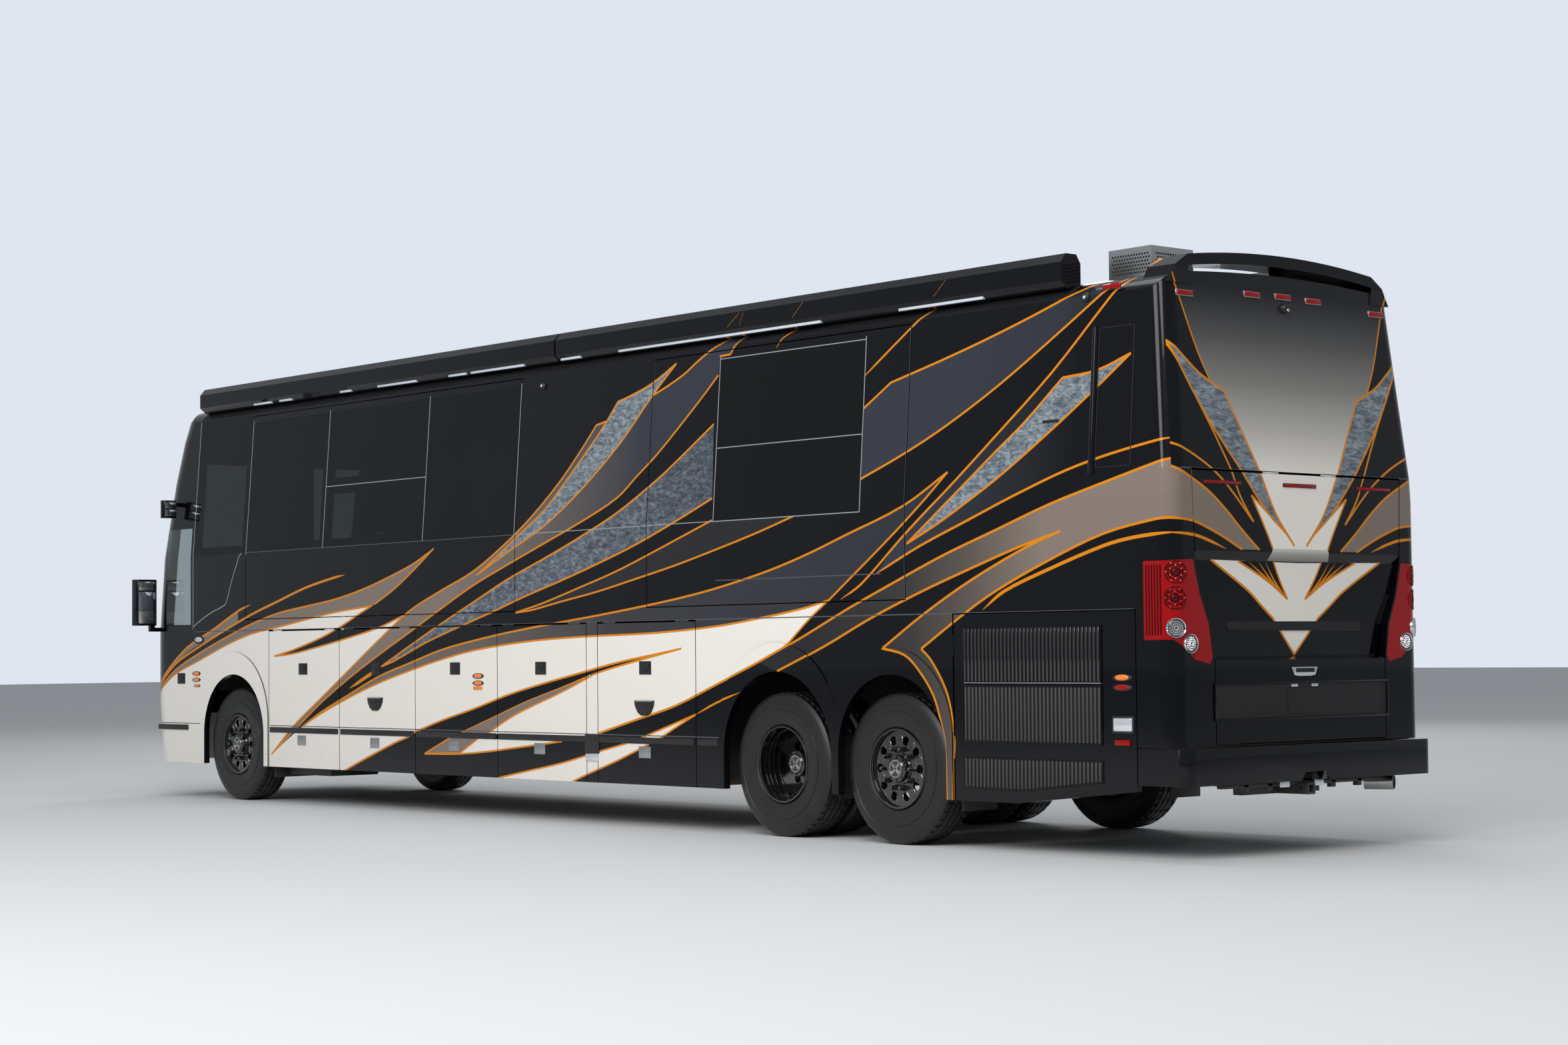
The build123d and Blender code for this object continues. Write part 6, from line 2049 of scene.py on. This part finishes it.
doorSkinTree = skinTree("entry_door")
wallSkin = skinTree("right_wall", "right_lower_panels", "front_cap")
dark, rail = bmesh.new(), bmesh.new()
joinInto(dark, newStack(doorDict["paddle"]), onEntry(doorSkinTree, *entryDict["latchPlace"]))
joinInto(dark, newPlaque(*entryDict["strip"]), onEntry(doorSkinTree, *entryDict["stripPlace"]))
glassRear, glassFront, lowZ, highZ, inward, thick = entryDict["glass"]
paneY = onEntry(doorSkinTree, *entryDict["glassSpot"]).translation.y + inward
pane = newBlock((glassRear, paneY, lowZ), (glassFront, paneY + thick, highZ))
newPiece("entry_door_glass", pane, "tinted", "entry_door")
newPiece("entry_door_latch", dark, "plastic", "entry_door")
ends = [onEntry(wallSkin, entryDict["railX"], z,
                entryDict["railOut"]).translation for z in entryDict["railZ"]]
addRods(rail, ends, *entryDict["rail"])
for end, up in zip(ends, (entryDict["footUp"], -entryDict["footUp"])):
    for near, far, *sizes in entryDict["feet"]:
        joinInto(rail, newRod(end + Vector((0, near, up)), end + Vector((0, far, up)), *sizes))
newPiece("entry_grab_rail", rail, "steel")


# Flaps behind the wheels, the bright strip between them and the drain pipes
flapDict = {
    # low and high x, inner and outer half width, low and high z, rounding
    "flaps": [
        (4.395, 4.405, 0.800, 1.240, 0.235, 0.440, 0.003),
        (-3.583, -3.573, 0.640, 1.235, 0.300, 0.760, 0.003),
        (-4.855, -4.845, 0.900, 1.235, 0.260, 0.480, 0.003),
    ],
    "strip": (-3.592, -3.564, 1.205, 1.245, 0.345, 0.725, 0.004),
    "tray": (3.560, 4.300, 0.620, 1.140, 0.262, 0.440, 0.015),
    "pipes": [(-0.665, 1.02), (-0.640, 0.62)],
    # z from and to, shift to the rear, radius, sides
    "pipe": (0.360, 0.500, 0.06, 0.022, 16),
}


def sideBlock(side, x0, x1, near, far, z0, z1, rounding):
    y0, y1 = sorted((side * near, side * far))
    return newBlock((x0, y0, z0), (x1, y1, z1), rounding)


parts = newParts("plastic", "steel")
z0, z1, shiftX, *sizes = flapDict["pipe"]
for side in (1, -1):
    for flap in flapDict["flaps"]:
        joinInto(parts["plastic"], sideBlock(side, *flap))
    joinInto(parts["steel"], sideBlock(side, *flapDict["strip"]))
    for x, y in flapDict["pipes"]:
        joinInto(parts["steel"], newRod((x, side * y, z0), (x - shiftX, side * y, z1), *sizes))
for side in (1, -1):
    joinInto(parts["plastic"], sideBlock(side, *flapDict["tray"]))
newPieces(parts, ("wheel_flaps", "under_bright_parts"))
print("flaps ready")
